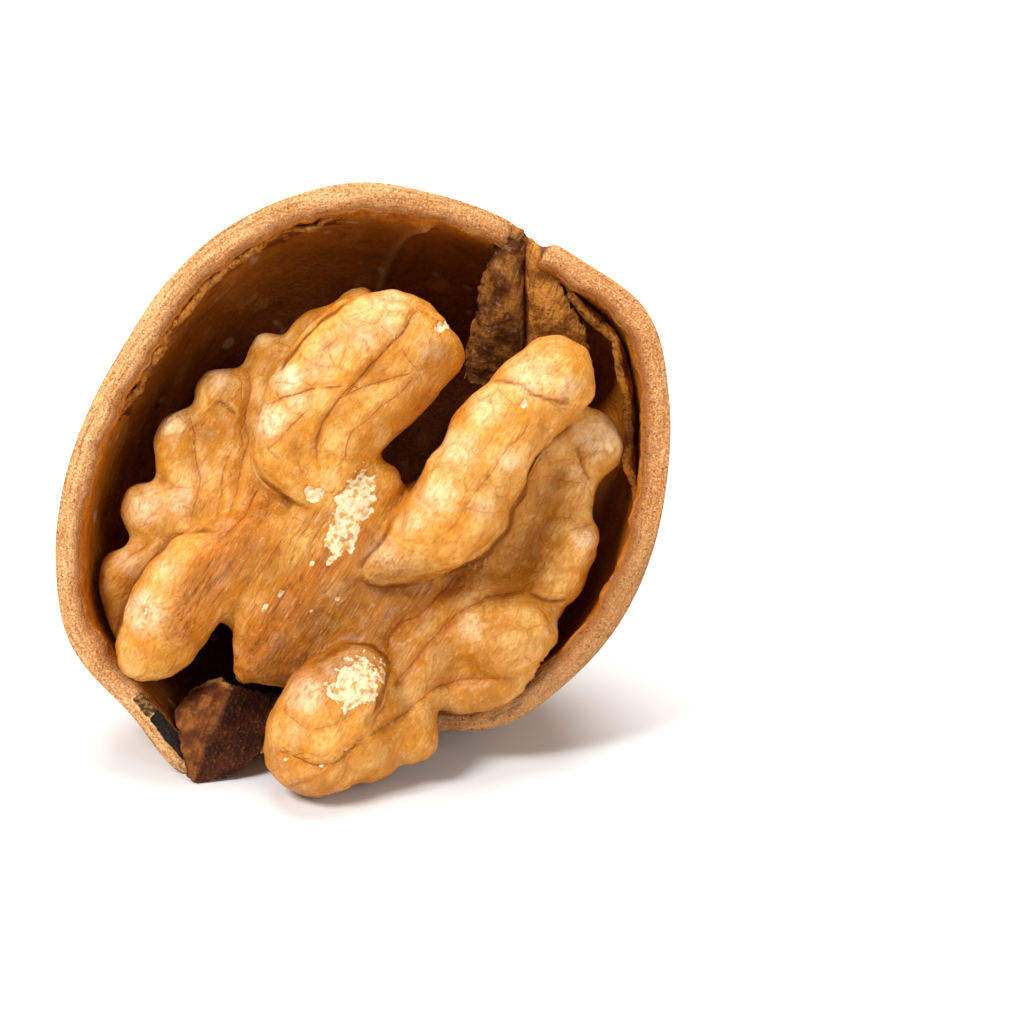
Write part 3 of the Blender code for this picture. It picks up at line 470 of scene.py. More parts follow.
def rim_noise(point):
    """The granular break of the rim: coarse crumbs with fine grit on them."""
    crumbs = noise.noise(point * 1.1) * 0.5 + noise.noise(point * 2.6) * 0.5
    return crumbs + 0.45 * noise.noise(point * 6.0)


def outer_detail(point, depth):
    """The relief of the shell's outside, and how deep in a furrow the point lies."""
    away = min(1.0, depth / (3 * KEEL_HEIGHT))
    swell = noise.noise(along_grain(point, 8.1, 3.6)) + 0.4 * noise.noise(along_grain(point, 4.2, 1.6))
    wander = point + 1.1 * noise.noise_vector(point * 0.35)
    long_furrow = bump(noise.noise(along_grain(wander, 10.0, 3.4)), 0.08)
    short_furrow = bump(noise.noise(along_grain(wander, 4.4, 1.7) + Vector((5.0, 0.0, 0.0))), 0.10)
    wrinkle = bump(noise.noise(along_grain(wander, 1.9, 0.9) + Vector((0.0, 7.0, 0.0))), 0.14)
    relief = 0.34 * (swell - 0.25) * away
    relief -= (0.42 * long_furrow + 0.24 * short_furrow) * (0.25 + 0.75 * away) + 0.08 * wrinkle
    relief += 0.05 * noise.noise(point * 2.4)
    return max(DEEPEST_FURROW, relief), long_furrow + 0.7 * short_furrow + 0.25 * wrinkle


def shell_outside(angle, sink):
    point = wall_point(angle, sink, 0.0)
    depth = max(0.0, -point.z)
    outward = Vector((math.cos(angle), math.sin(angle), 0.0))
    point += outward * (KEEL * bump(depth, KEEL_HEIGHT) + beak(angle, depth))
    relief, furrow = outer_detail(point, depth)
    direction = (point.normalized() * (sink > 0.05) or outward).normalized()
    return rested(point + direction * relief, 0.0), furrow


def rib(angle, depth):
    """The raised rib that runs down the wall from the top of the rim, and the ply that ends at it."""
    away = math.degrees(angle_between(angle, math.radians(74.0 + 1.05 * depth))) * 0.25
    fade = eased(depth, 0.3, 1.2) * (1 - eased(depth, 11.0, 14.0))
    return fade * bump(away, 0.35), fade * eased(away, -0.3, 0.1) * bump(max(0.0, away), 5.0)


def shell_inside(angle, sink):
    point = wall_point(angle, sink, WALL)
    crest, ply = rib(angle, -point.z)
    point -= point.normalized() * (0.35 * crest + 0.4 * ply)
    outward = Vector((math.cos(angle), math.sin(angle), 0.0))
    ragged = 0.30 * noise.noise(point * 0.55) + 0.20 * noise.noise(point * 1.7)
    point += outward * (beak(angle, -point.z) + ragged * bump(-point.z, 1.6))
    ripple = 0.14 * noise.noise(point * 0.35) + 0.05 * noise.noise(point * 1.1)
    point += point.normalized() * ripple
    return rested(point, WALL)


def make_shell(material):
    """A ball whose upper half is pressed into its lower half: inside, rim and outside in one skin."""
    shape = bmesh.new()
    rows = INSIDE_ROWS + RIM_ROWS + OUTSIDE_ROWS
    bmesh.ops.create_uvsphere(shape, u_segments=SHELL_SEGMENTS, v_segments=rows, radius=1.0)
    zones = []
    for vertex in shape.verts:
        angle = math.atan2(vertex.co.y, vertex.co.x)
        row = round(math.acos(max(-1.0, min(1.0, vertex.co.z))) / math.pi * rows)
        furrow = 0.0
        if row <= INSIDE_ROWS:
            share = 1 - row / INSIDE_ROWS
            sink = math.sin(math.pi / 2 * share**1.25) ** (2 / PROFILE)
            vertex.co = shell_inside(angle, sink)
            zone = (0.0, 1.0, 0.0)
        elif row < INSIDE_ROWS + RIM_ROWS:
            across = (row - INSIDE_ROWS) / RIM_ROWS
            inner, outer = shell_inside(angle, 0.0), shell_outside(angle, 0.0)[0]
            point = inner.lerp(outer, across)
            rounding = 0.32 * (1 - abs(2 * across - 0.9) ** 2.6)
            streak = Vector((point.x / 5, point.y / 5, across * 5))
            coarse = 0.45 + 0.55 * eased(math.cos(angle - 0.2), -0.4, 0.6)
            rough = 0.22 * coarse * rim_noise(point) + 0.14 * noise.noise(streak * 1.6) + 0.16 * noise.noise(point * 0.5)
            vertex.co = point + Vector((0.0, 0.0, rounding + rough * math.sin(math.pi * across) ** 0.5))
            zone = (1.0, 0.0, across)
        else:
            share = (row - INSIDE_ROWS - RIM_ROWS) / OUTSIDE_ROWS
            sink = math.sin(math.pi / 2 * share**1.5) ** (2 / PROFILE)
            vertex.co, furrow = shell_outside(angle, sink)
            zone = (math.exp(-share * 22), 0.0, 1.0)
        zones.append((*zone, furrow, angle))
    mesh = bpy.data.meshes.new("shell_wood")
    face_points = np.array([v.co[:] for v in shape.verts])
    shape.to_mesh(mesh)
    shape.free()
    zones = np.array(zones)
    set_values(mesh, "rim", zones[:, 0])
    set_values(mesh, "inside", zones[:, 1])
    set_values(mesh, "across", zones[:, 2])
    set_values(mesh, "furrow", zones[:, 3])
    turn = np.degrees((zones[:, 4] - BEAK_ANGLE + math.pi) % math.tau - math.pi)
    inner_half = zones[:, 0] * np.clip((0.62 - zones[:, 2]) * 10, 0.0, 1.0)
    set_values(mesh, "suture", inner_half * np.clip(turn + 13.0, 0.0, 1.0) * np.clip(2.0 - turn, 0.0, 1.0))
    set_values(mesh, "cork", inner_half * np.clip(turn + 17.5, 0.0, 1.0) * np.clip(-12.0 - turn, 0.0, 1.0))
    set_values(mesh, "rib", zones[:, 1] * np.array([rib(a, -z)[0] for a, z in zip(zones[:, 4], face_points[:, 2])]))
    set_values(mesh, "notch", [crack(a) for a in zones[:, 4]])
    set_values(mesh, "tip", np.exp(-((turn / 26.0) ** 2)))
    set_vectors(mesh, "face", face_points)
    return add_piece("shell_wood", mesh, material, "shell_wood", "shell")


def make_lining(name, material):
    """A thin ply of the wall that stands off it inside the rim, with a broken edge."""
    start, end, edges, gaps, thickness = LININGS[name]
    length = math.radians(end - start) * 18
    columns, rows = int(length / 0.22), 20
    shape = bmesh.new()
    bmesh.ops.create_grid(shape, x_segments=columns, y_segments=rows, size=0.5)
    edge_values = []
    for vertex in shape.verts:
        across, down = vertex.co.x + 0.5, 0.5 - vertex.co.y
        angle = math.radians(start + (end - start) * across)
        place = across * 4
        k = min(int(place), 3)
        share = place - k
        edge = edges[k] + (edges[k + 1] - edges[k]) * share
        gap = gaps[k] + (gaps[k + 1] - gaps[k]) * share
        spot = Vector((across * length, 7.0 * len(name), 0.0))
        teeth = 0.6 * noise.noise(spot * 0.5) + 0.5 * noise.noise(spot * 1.4) + 0.35 * noise.noise(spot * 3.1)
        taper = 1 - eased(min(across, 1 - across) * length + 1.2 * teeth, 0.0, 3.0)
        top = edge + 0.60 * teeth + 1.2 * taper
        depth = top + down * 4.2
        sink = max(0.0, (depth + rim_height(angle)) / DEPTH)
        lean = (1 - down) ** 3
        buckle = 0.30 * noise.noise(Vector((across * length * 0.5, down * 3, 4.0)))
        buckle += 0.16 * noise.noise(Vector((across * length * 1.6, down * 5, 9.0)))
        inset = WALL + thickness * (0.5 - max(taper, eased(down, 0.4, 1.0))) + (gap + buckle) * lean * (1 - taper)
        point = wall_point(angle, min(sink, 0.9), inset)
        outward = Vector((math.cos(angle), math.sin(angle), 0.0))
        vertex.co = point + outward * beak(angle, -point.z)
        edge_values.append(1 - down)
    mesh = bpy.data.meshes.new(name)
    shape.to_mesh(mesh)
    shape.free()
    set_values(mesh, "edge", edge_values)
    return add_piece(name, thickened(mesh, thickness), material, "shell_wood")


def thickened(mesh, thickness):
    """The mesh of a sheet after it has been given a thickness."""
    sheet = bpy.data.objects.new("sheet", mesh)
    bpy.context.scene.collection.objects.link(sheet)
    solidify = sheet.modifiers.new("thickness", "SOLIDIFY")
    solidify.thickness = thickness
    solidify.offset = 0.0
    solid = taken(sheet)
    set_vectors(solid, "face", mesh_points(solid))
    return solid


def taken(thing):
    """What an object's modifiers make of its mesh; the object itself is removed."""
    graph = bpy.context.evaluated_depsgraph_get()
    made = bpy.data.meshes.new_from_object(thing.evaluated_get(graph))
    bpy.data.objects.remove(thing)
    return made


# The partition webs.


def rail_point(rails, across, inward):
    """A smooth point on the sheet that the rails carry."""
    def read(points, place):
        k = min(int(place), len(points) - 2)
        share = place - k
        p0, p3 = points[max(k - 1, 0)], points[min(k + 2, len(points) - 1)]
        p1, p2 = points[k], points[k + 1]
        return p1 + 0.5 * share * (
            p2 - p0 + share * (2 * p0 - 5 * p1 + 4 * p2 - p3 + share * (3 * (p1 - p2) + p3 - p0))
        )

    rows = [read([Vector(p) for p in rail], inward * (len(rail) - 1)) for rail in rails]
    return read(rows, across * (len(rails) - 1))


def make_web(name, rails, roughness, slit, material, node, cells=110):
    shape = bmesh.new()
    bmesh.ops.create_grid(shape, x_segments=cells, y_segments=cells, size=0.5)
    acrosses, inwards = [], []
    for vertex in shape.verts:
        across, inward = vertex.co.x + 0.5, vertex.co.y + 0.5
        point = rail_point(rails, across, inward)
        drawn = Vector((across * 7, inward * 3.0, 2.0))
        cork = roughness * (noise.noise(point * 0.7) + noise.noise(drawn) + 0.25 * noise.noise(point * 2.6))
        rise = cork * (0.2 + 0.8 * (1 - eased(across, 0.44, 0.55)))
        rise -= slit * bump(across - 0.5, 0.045) * eased(inward, 0.02, 0.15)
        border = min(across, 1 - across, inward, 1 - inward)
        fray = (1 - eased(border, 0.0, 0.06)) * 0.25
        wander = Vector((noise.noise(point * 2.1), noise.noise(point * 2.1 + Vector((9, 0, 0))), 0.0)) * fray
        vertex.co = point + Vector((0.0, 0.0, rise)) + wander
        acrosses.append(across)
        inwards.append(inward)
    mesh = bpy.data.meshes.new(name)
    shape.to_mesh(mesh)
    shape.free()
    set_values(mesh, "across", acrosses)
    set_values(mesh, "inward", inwards)
    return add_piece(name, thickened(mesh, 0.5), material, "partition", node)


# The kernel.


def cord_path(beads, spacing):
    """Points along a smooth line through the beads, each with its radius."""
    beads = [np.array(b, dtype=float) for b in beads]
    ends = [2 * beads[0] - beads[1], *beads, 2 * beads[-1] - beads[-2]]
    points = []
    for a, b, c, d in zip(ends, ends[1:], ends[2:], ends[3:]):
        steps = max(2, int(np.linalg.norm((c - b)[:3]) / spacing))
        for share in np.arange(steps) / steps:
            bend = 3 * (b - c) + d - a
            points.append(b + 0.5 * share * (c - a + share * (2 * a - 5 * b + 4 * c - d + share * bend)))
    points = np.array([*points, beads[-1]])
    points[:, 3] = np.maximum(points[:, 3], min(b[3] for b in beads))
    return points


def lobules(beads):
    """The short folds that stand out of the hidden back of a lobe, fanned round its middle."""
    start, end = Vector(beads[0]), Vector(beads[-1])
    run = (end.xyz - start.xyz).normalized()
    side = run.cross(Vector((0.0, 0.0, 1.0))).normalized()
    short = []
    for k in range(LOBULES):
        share = (k + 0.5) / LOBULES
        near = Vector(beads[1]).lerp(Vector(beads[2]), share)
        middle = start.xyz.lerp(end.xyz, share)
        tilt = math.sin(2.4 * k) * 1.1
        out = (side * math.sin(tilt) - Vector((0.0, 0.0, math.cos(tilt)))).normalized()
        root = middle.lerp(near.xyz, 0.5)
        short.append(((*root, LOBULE_RADIUS), (*(root + out * LOBULE_REACH), LOBULE_RADIUS)))
    return short


def fused_folds(folds, voxel):
    """One skin over all the folds: balls strung along each, fused."""
    shape = bmesh.new()
    for beads in folds:
        cord = bmesh.new()
        for x, y, z, radius in cord_path(beads, 0.7):
            place = Matrix.Translation((x, y, z))
            bmesh.ops.create_icosphere(cord, subdivisions=3, radius=radius, matrix=place)
        mesh = bpy.data.meshes.new("cord")
        cord.to_mesh(mesh)
        cord.free()
        shape.from_mesh(mesh)
        bpy.data.meshes.remove(mesh)
    mesh = bpy.data.meshes.new("kernel_flesh")
    shape.to_mesh(mesh)
    shape.free()
    lump = bpy.data.objects.new("lump", mesh)
    bpy.context.scene.collection.objects.link(lump)
    fuse = lump.modifiers.new("fuse the folds", "REMESH")
    fuse.mode = "VOXEL"
    fuse.voxel_size = voxel
    return taken(lump)


def mesh_points(mesh):
    flat = np.empty(len(mesh.vertices) * 3, dtype=np.float32)
    mesh.vertices.foreach_get("co", flat)
    return flat.reshape(-1, 3).astype(float)


def mesh_edges(mesh):
    flat = np.empty(len(mesh.edges) * 2, dtype=np.int32)
    mesh.edges.foreach_get("vertices", flat)
    return flat.reshape(-1, 2)


def mesh_normals(mesh, points):
    mesh.vertices.foreach_set("co", points.astype(np.float32).ravel())
    mesh.update()
    flat = np.empty(len(mesh.vertices) * 3, dtype=np.float32)
    mesh.vertices.foreach_get("normal", flat)
    return flat.reshape(-1, 3).astype(float)


def relaxed(values, edges, rounds, share=0.5):
    """Values evened out between neighbouring vertices, over and over."""
    values = np.array(values, dtype=float)
    lone = values.ndim == 1
    table = values[:, None] if lone else values
    count = len(table)
    near = np.bincount(edges.ravel(), minlength=count)[:, None]
    share = np.asarray(share)
    share = share[:, None] if share.ndim else share
    for _ in range(rounds):
        total = np.empty_like(table)
        for k in range(table.shape[1]):
            column = table[:, k]
            total[:, k] = np.bincount(edges[:, 0], weights=column[edges[:, 1]], minlength=count)
            total[:, k] += np.bincount(edges[:, 1], weights=column[edges[:, 0]], minlength=count)
        table = table + share * (total / np.maximum(near, 1) - table)
    return table[:, 0] if lone else table


def nearest_fold(points, folds):
    """For each point, which fold is nearest."""
    best = np.full(len(points), np.inf)
    owner = np.zeros(len(points), dtype=int)
    for k, beads in enumerate(folds):
        for bead in cord_path(beads, 0.5):
            distance = np.linalg.norm(points - bead[:3], axis=1) - bead[3]
            closer = distance < best
            best[closer] = distance[closer]
            owner[closer] = k
    return owner


def line_fields(points, lines, reach, start=0.06):
    """Signed distance in the face plane to the nearest line, the distance's size, and that line's depth."""
    near = np.full(len(points), reach)
    signed = np.full(len(points), reach)
    depth = np.zeros(len(points))
    for strength, line in lines:
        beads = [(x, y, 0.0, 1.0) for x, y in line]
        path = cord_path(beads, 0.5)[:, :2]
        low, high = path.min(axis=0) - reach, path.max(axis=0) + reach
        some = np.flatnonzero(np.all((points[:, :2] > low) & (points[:, :2] < high), axis=1))
        spots = points[some, :2]
        last = len(path) - 2
        for j, (a, b) in enumerate(zip(path, path[1:])):
            span = b - a
            share = np.clip(((spots - a) @ span) / (span @ span), 0.0, 1.0)
            arm = spots - (a + share[:, None] * span)
            distance = np.linalg.norm(arm, axis=1)
            side = np.sign(span[0] * (spots[:, 1] - a[1]) - span[1] * (spots[:, 0] - a[0]))
            run = (j + share) / (last + 1)
            taper = np.minimum(1.0, 8 * np.minimum(run + 0.5 * start, 1 + 0.5 * start - run))
            closer = distance < near[some]
            chosen = some[closer]
            near[chosen] = distance[closer]
            signed[chosen] = (distance * side)[closer]
            depth[chosen] = strength * taper[closer]
    return signed, near, depth


def relief_fields(points):
    """The rise toward the viewer that steps, swells and valleys make, and masks for painted light: painted shade in the
    nooks below the steps and in the hollows and valleys, a painted highlight along the folds' lips and a painted shadow
    line at their seams.
    """
    rise, nook_shade, lip_highlight, seam = (np.zeros(len(points)) for _ in range(4))
    for drop, width, line in STEPS:
        signed, near, along = line_fields(points, ((1.0, line),), 5.0, 0.0)
        over = 1 / (1 + np.exp(-signed / 0.06))
        taper = np.clip(along, 0.0, 1.0)
        low = drop * np.exp(-near / width)
        shoulder = 0.30 * drop * (1 - np.exp(-near / 0.35)) * np.exp(-near / 1.6)
        rise += taper * (shoulder * over - low * (1 - over))
        nook_shade = np.maximum(nook_shade, taper * (1 - over) * np.exp(-near / (0.8 * width)) * min(1.0, drop))
        lip_highlight = np.maximum(lip_highlight, taper * over * np.exp(-(((near - 0.24) / 0.12) ** 2)))
        seam = np.maximum(seam, taper * np.exp(-(((signed + 0.07) / 0.15) ** 2)) * min(1.0, drop + 0.3))
    for x, y, radius, height in SWELLS:
        dome = np.exp(-(((points[:, 0] - x) ** 2 + (points[:, 1] - y) ** 2) / radius**2))
        rise += height * dome
        nook_shade = np.maximum(nook_shade, -1.1 * height * dome)
    for depth, width, line in VALLEYS:
        _, near, along = line_fields(points, ((1.0, line),), 4.0)
        valley = along * np.exp(-((near / width) ** 2))
        rise -= depth * valley
        nook_shade = np.maximum(nook_shade, 0.6 * valley * min(1.0, depth / 0.5))
    return rise, nook_shade, lip_highlight, seam


def chip_field(points):
    """How far inside a rubbed patch a point lies; the patch's edge is at a half."""
    chips = np.zeros(len(points))
    for x, y, long_reach, short_reach, degrees in CHIPS:
        some = np.flatnonzero(np.hypot(points[:, 0] - x, points[:, 1] - y) < long_reach * 1.6 + 0.3)
        turn = math.radians(degrees)
        for k in some:
            px, py, pz = points[k]
            dx, dy = px - x, py - y
            u = (dx * math.cos(turn) + dy * math.sin(turn)) / long_reach
            v = (dy * math.cos(turn) - dx * math.sin(turn)) / short_reach
            ragged = 0.42 * noise.noise(Vector((px, py, pz)) * 1.3) + 0.30 * noise.noise(Vector((px, py, pz)) * 3.4)
            chips[k] = max(chips[k], min(1.0, 0.5 + (1.0 - math.hypot(u, v) + ragged) * 0.9))
    return chips


def make_kernel(material):
    front = list(FRONT_FOLDS.values())
    body = list(BODY_FOLDS.values())
    short = lobules(BODY_FOLDS["left_back"]) + lobules(BODY_FOLDS["right_back"])
    folds = front + body + short
    voxel = 0.208
    mesh = fused_folds(folds, voxel)
    edges = mesh_edges(mesh)
    points = mesh_points(mesh)
    rounds = round(2.2 / voxel)

    fleshy = relaxed((nearest_fold(points, folds) < len(front)).astype(float), edges, 3 * rounds)
    points = relaxed(points, edges, rounds, 0.5)
    points = relaxed(points, edges, 3 * rounds, 0.5 * np.clip(1 - 1.6 * fleshy, 0.0, 1.0))
    normals = mesh_normals(mesh, points)
    broad_facing = relaxed(normals, edges, rounds)[:, 2]
    rise, nook_shade, lip_highlight, seam = relief_fields(points)
    facing = np.clip(broad_facing * 3.0, 0.0, 1.0)
    points[:, 2] += rise * facing
    normals = mesh_normals(mesh, points)

    # Plump lumps along the folds, then the veins pressed in and the skin puckered beside them.
    lumps = np.array([noise.noise(Vector(p) * 0.42) * 0.30 + noise.noise(Vector(p) * 0.95) * 0.13 for p in points])
    wander = np.array([
        (noise.noise(Vector(p) * 0.7), noise.noise(Vector(p) * 0.7 + Vector((0.0, 0.0, 30.0)))) for p in points
    ])
    drifted = points.copy()
    drifted[:, :2] += 0.14 * wander
    signed, near, depth = line_fields(drifted, VEINS, 2.0)
    groove = np.exp(-((near / VEIN_WIDTH) ** 2)) - 0.55 * np.exp(-((near / (3.4 * VEIN_WIDTH)) ** 2))
    creases = np.array([
        bump(noise.noise(along_grain(Vector(p) + 0.6 * noise.noise_vector(Vector(p) * 0.8), 2.6, 1.3)), 0.10) for p in points
    ])
    creases *= np.array([eased(noise.noise(Vector(p) * 0.5 + Vector((3.0, 0.0, 0.0))), -0.25, 0.15) for p in points])
    chips = chip_field(points) * (normals[:, 2] > 0.05)
    flakes = np.array([noise.noise(Vector(p) * 3.1) if c > 0 else 0.0 for p, c in zip(points, chips)])
    bare = np.clip(chips * 4 - 1.6, 0.0, 1.0)
    points += normals * (lumps - depth * facing * groove - 0.07 * creases + bare * (0.22 * flakes - 0.12))[:, None]
    points = np.array([kept_clear(Vector(p), CLEARANCE)[:] for p in points])

    # What the material reads: creases, folds against body, the orange of the ridge, stains that are partly painted
    # shade, chips, and the marks for painted shade and painted highlights.
    normals = mesh_normals(mesh, points)
    broad = relaxed(points, edges, 3 * rounds)
    hollow = np.einsum("ij,ij->i", broad - points, normals)
    tight = np.einsum("ij,ij->i", relaxed(points, edges, rounds) - points, normals)
    set_values(mesh, "hollow", hollow)
    set_values(mesh, "pinch_shade", tight)
    set_values(mesh, "fleshy", fleshy)
    square_on = np.clip(3.5 * broad_facing - 0.9, 0.0, 1.0)
    set_values(mesh, "nook_shade", nook_shade * square_on)
    set_values(mesh, "lip_highlight", lip_highlight * square_on)
    set_values(mesh, "seam", seam * square_on)
    # How squarely the skin faces out of the opening, read by the material for painted shade on the flanks.
    set_values(mesh, "crest", relaxed(normals, edges, rounds // 2)[:, 2])
    set_values(mesh, "chip", relaxed(chips, edges, 1))
    set_values(mesh, "vein_side", np.clip(signed, -1.5, 1.5))
    set_values(mesh, "vein_near", near)
    set_values(mesh, "vein_depth", depth * square_on)
    set_values(mesh, "crease", creases)
    set_values(mesh, "ridge", ridge_field(points))
    set_values(mesh, "stain", spot_field(points, BROWN_AND_SHADE_SPOTS))
    # The pale mark holds the painted highlight spots.
    set_values(mesh, "pale", spot_field(points, HIGHLIGHT_SPOTS))
    set_values(mesh, "bridge", spot_field(points, BRIDGE))
    set_vectors(mesh, "face", points)
    return add_piece("kernel_flesh", mesh, material, "kernel_skin", "kernel")


def ridge_field(points):
    """How near a point is to the stained ridge of the bridge, or to the root of the left finger."""
    stained = (
        (1.0, 1.0, ((0.2, -3.4), (-2.0, -5.0), (-4.6, -7.6), (-6.6, -10.4), (-7.6, -12.4))),
        (0.95, 1.5, ((-6.6, -2.6), (-7.8, -3.9), (-9.0, -5.6), (-10.0, -7.2), (-10.8, -9.2))),
        (0.45, 1.0, ((-4.4, -12.4), (-2.0, -11.6), (-0.6, -10.6))),
    )
    total = np.zeros(len(points))
    for strength, width, line in stained:
        _, near, _ = line_fields(points, ((1.0, line),), 4.0)
        total = np.maximum(total, strength * np.exp(-((near / width) ** 2)))
    return total


def spot_field(points, spots):
    """How strongly a point lies within the nearest of some round patches."""
    total = np.zeros(len(points))
    for x, y, radius, strength in spots:
        away = ((points[:, 0] - x) ** 2 + (points[:, 1] - y) ** 2) / radius**2
        total = np.maximum(total, strength * np.exp(-(away**1.5)))
    return total


# The finishes.


def new_material(name):
    material = bpy.data.materials.new(name)
    material.use_nodes = True
    tree = material.node_tree
    return material, tree, tree.nodes["Principled BSDF"].inputs


def washes(tree, colour, layers):
    """Lays tints over a colour. Each has what it follows, the values where it starts and is full, its strength
    and its own colour."""
    for source, start, full, strength, tint in layers:
        share = add_node(tree, "ShaderNodeMapRange", {0: source, 1: start, 2: full, 4: strength},
                         interpolation_type="SMOOTHSTEP")
        colour = add_node(tree, "ShaderNodeMix", {0: share, 6: colour, 7: tint}, 2, data_type="RGBA")
    return colour


def relief_normal(tree, layers):
    """Adds up heights in millimetres, each a pattern and how far it rises, into a bumped normal."""
    height = 0.0
    for source, rise in layers:
        height = add_node(tree, "ShaderNodeMath", {0: source, 1: rise, 2: height}, operation="MULTIPLY_ADD")
    return add_node(tree, "ShaderNodeBump", {"Strength": 1.0, "Distance": MM, "Height": height})


SKIN_MARKS = (
    "fleshy", "chip", "hollow", "pinch_shade", "nook_shade", "lip_highlight", "seam", "crest", "vein_side", "vein_near", "vein_depth",
    "crease", "ridge", "stain", "pale", "bridge",
)


def kernel_skin_material():
    """Walnut kernel skin: a thin, dry, oily film over pale flesh. The eye gets a golden tan with a soft sheen, brown
    veins and cream where the film is rubbed off; painted shade darkens the creases, hollows, nooks and flanks that face
    away, and painted highlights lighten the crowns of the folds."""
    material, tree, shader = new_material("walnut kernel skin")
    mark = {name: add_node(tree, "ShaderNodeAttribute", {}, "Fac", attribute_name=name) for name in SKIN_MARKS}
    face = add_node(tree, "ShaderNodeAttribute", {}, "Vector", attribute_name="face")

    # Blotches of 1 to 4 mm where the skin is thinner or thicker, then speckles and crumbs.
    blotch, mottle, speckle, crumb = (
        add_node(tree, "ShaderNodeTexNoise", {"Vector": face, "Scale": scale, "Detail": 3.0})
        for scale in (0.42, 0.95, 2.6, 2.2)
    )
    # The film is puckered along the nut into crepe a fifth of a millimetre wide, dusted with meal.
    puckered = add_node(tree, "ShaderNodeMapping", {"Vector": face, "Rotation": (0, 0, GRAIN_ANGLE),
                                                    "Scale": (2.4, 1.0, 1.0)}, vector_type="TEXTURE")
    grit, meal = (
        add_node(tree, "ShaderNodeTexNoise", {"Vector": puckered, "Scale": scale, "Detail": 3.0, "Distortion": 0.8})
        for scale in (4.6, 6.8)
    )
    # Fibres run along the nut: long strands on the bridge, and short faint ones elsewhere.
    fibre, strand = (
        add_node(tree, "ShaderNodeTexNoise", {
            "Vector": add_node(tree, "ShaderNodeMapping", {
                "Vector": face, "Rotation": (0, 0, GRAIN_ANGLE), "Scale": (length, 0.20, 0.5),
            }, vector_type="TEXTURE"),
            "Scale": 1.0, "Detail": 5.0, "Roughness": 0.64, "Distortion": 0.5,
        })
        for length in (0.62, 1.9)
    )
    bridged = add_node(tree, "ShaderNodeMapRange", {0: mark["bridge"], 1: 0.1, 2: 0.5})
    streak = add_node(tree, "ShaderNodeMix", {0: bridged, 2: fibre, 3: strand}, data_type="FLOAT")
    thin = add_node(tree, "ShaderNodeMapRange", {0: streak, 1: 0.55, 2: 0.34})
    fibrous = add_node(tree, "ShaderNodeMapRange", {0: bridged, 3: 0.34, 4: 0.72})
    stringy = add_node(tree, "ShaderNodeMath", {0: thin, 1: fibrous}, operation="MULTIPLY")
    charred = add_node(tree, "ShaderNodeMath", {0: thin, 1: mark["ridge"]}, operation="MULTIPLY")

    # Hairline veins branch over the skin every 2 to 3 mm.
    warp = add_node(tree, "ShaderNodeTexNoise", {"Vector": face, "Scale": 0.6, "Detail": 2.0}, 1)
    shifted = add_node(tree, "ShaderNodeVectorMath", {0: face, 1: warp}, operation="ADD")
    net = add_node(tree, "ShaderNodeTexVoronoi", {"Vector": shifted, "Scale": 0.44}, feature="DISTANCE_TO_EDGE")
    branch = add_node(tree, "ShaderNodeMapRange", {0: net, 1: 0.04, 2: 0.0})
    puffed = add_node(tree, "ShaderNodeMapRange", {0: net, 1: 0.0, 2: 0.36}, interpolation_type="SMOOTHSTEP")
    some = add_node(tree, "ShaderNodeMapRange", {0: blotch, 1: 0.42, 2: 0.62})
    hairline = add_node(tree, "ShaderNodeMath", {0: branch, 1: some}, operation="MULTIPLY")

    # The pressed-in veins: a crisp line a tenth of a millimetre wide in a wider stain.
    side = add_node(tree, "ShaderNodeMath", {0: mark["vein_side"]}, operation="ABSOLUTE")
    crisp = add_node(tree, "ShaderNodeMapRange", {0: side, 1: 0.085, 2: 0.005}, interpolation_type="SMOOTHSTEP")
    within = add_node(tree, "ShaderNodeMapRange", {0: mark["vein_near"], 1: 0.28, 2: 0.15})
    beside = add_node(tree, "ShaderNodeMapRange", {0: mark["vein_near"], 1: 0.65, 2: 0.1}, interpolation_type="SMOOTHSTEP")
    deep = add_node(tree, "ShaderNodeMapRange", {0: mark["vein_depth"], 1: 0.0, 2: 0.20, 3: 0.06})
    broken = add_node(tree, "ShaderNodeMapRange", {0: speckle, 1: 0.34, 2: 0.52, 3: 0.45})
    strong = add_node(tree, "ShaderNodeMath", {0: deep, 1: broken}, operation="MULTIPLY")
    halo = add_node(tree, "ShaderNodeMath", {0: beside, 1: strong}, operation="MULTIPLY")
    line = add_node(tree, "ShaderNodeMath", {0: crisp, 1: within}, operation="MULTIPLY")
    line = add_node(tree, "ShaderNodeMath", {0: line, 1: strong}, operation="MULTIPLY")

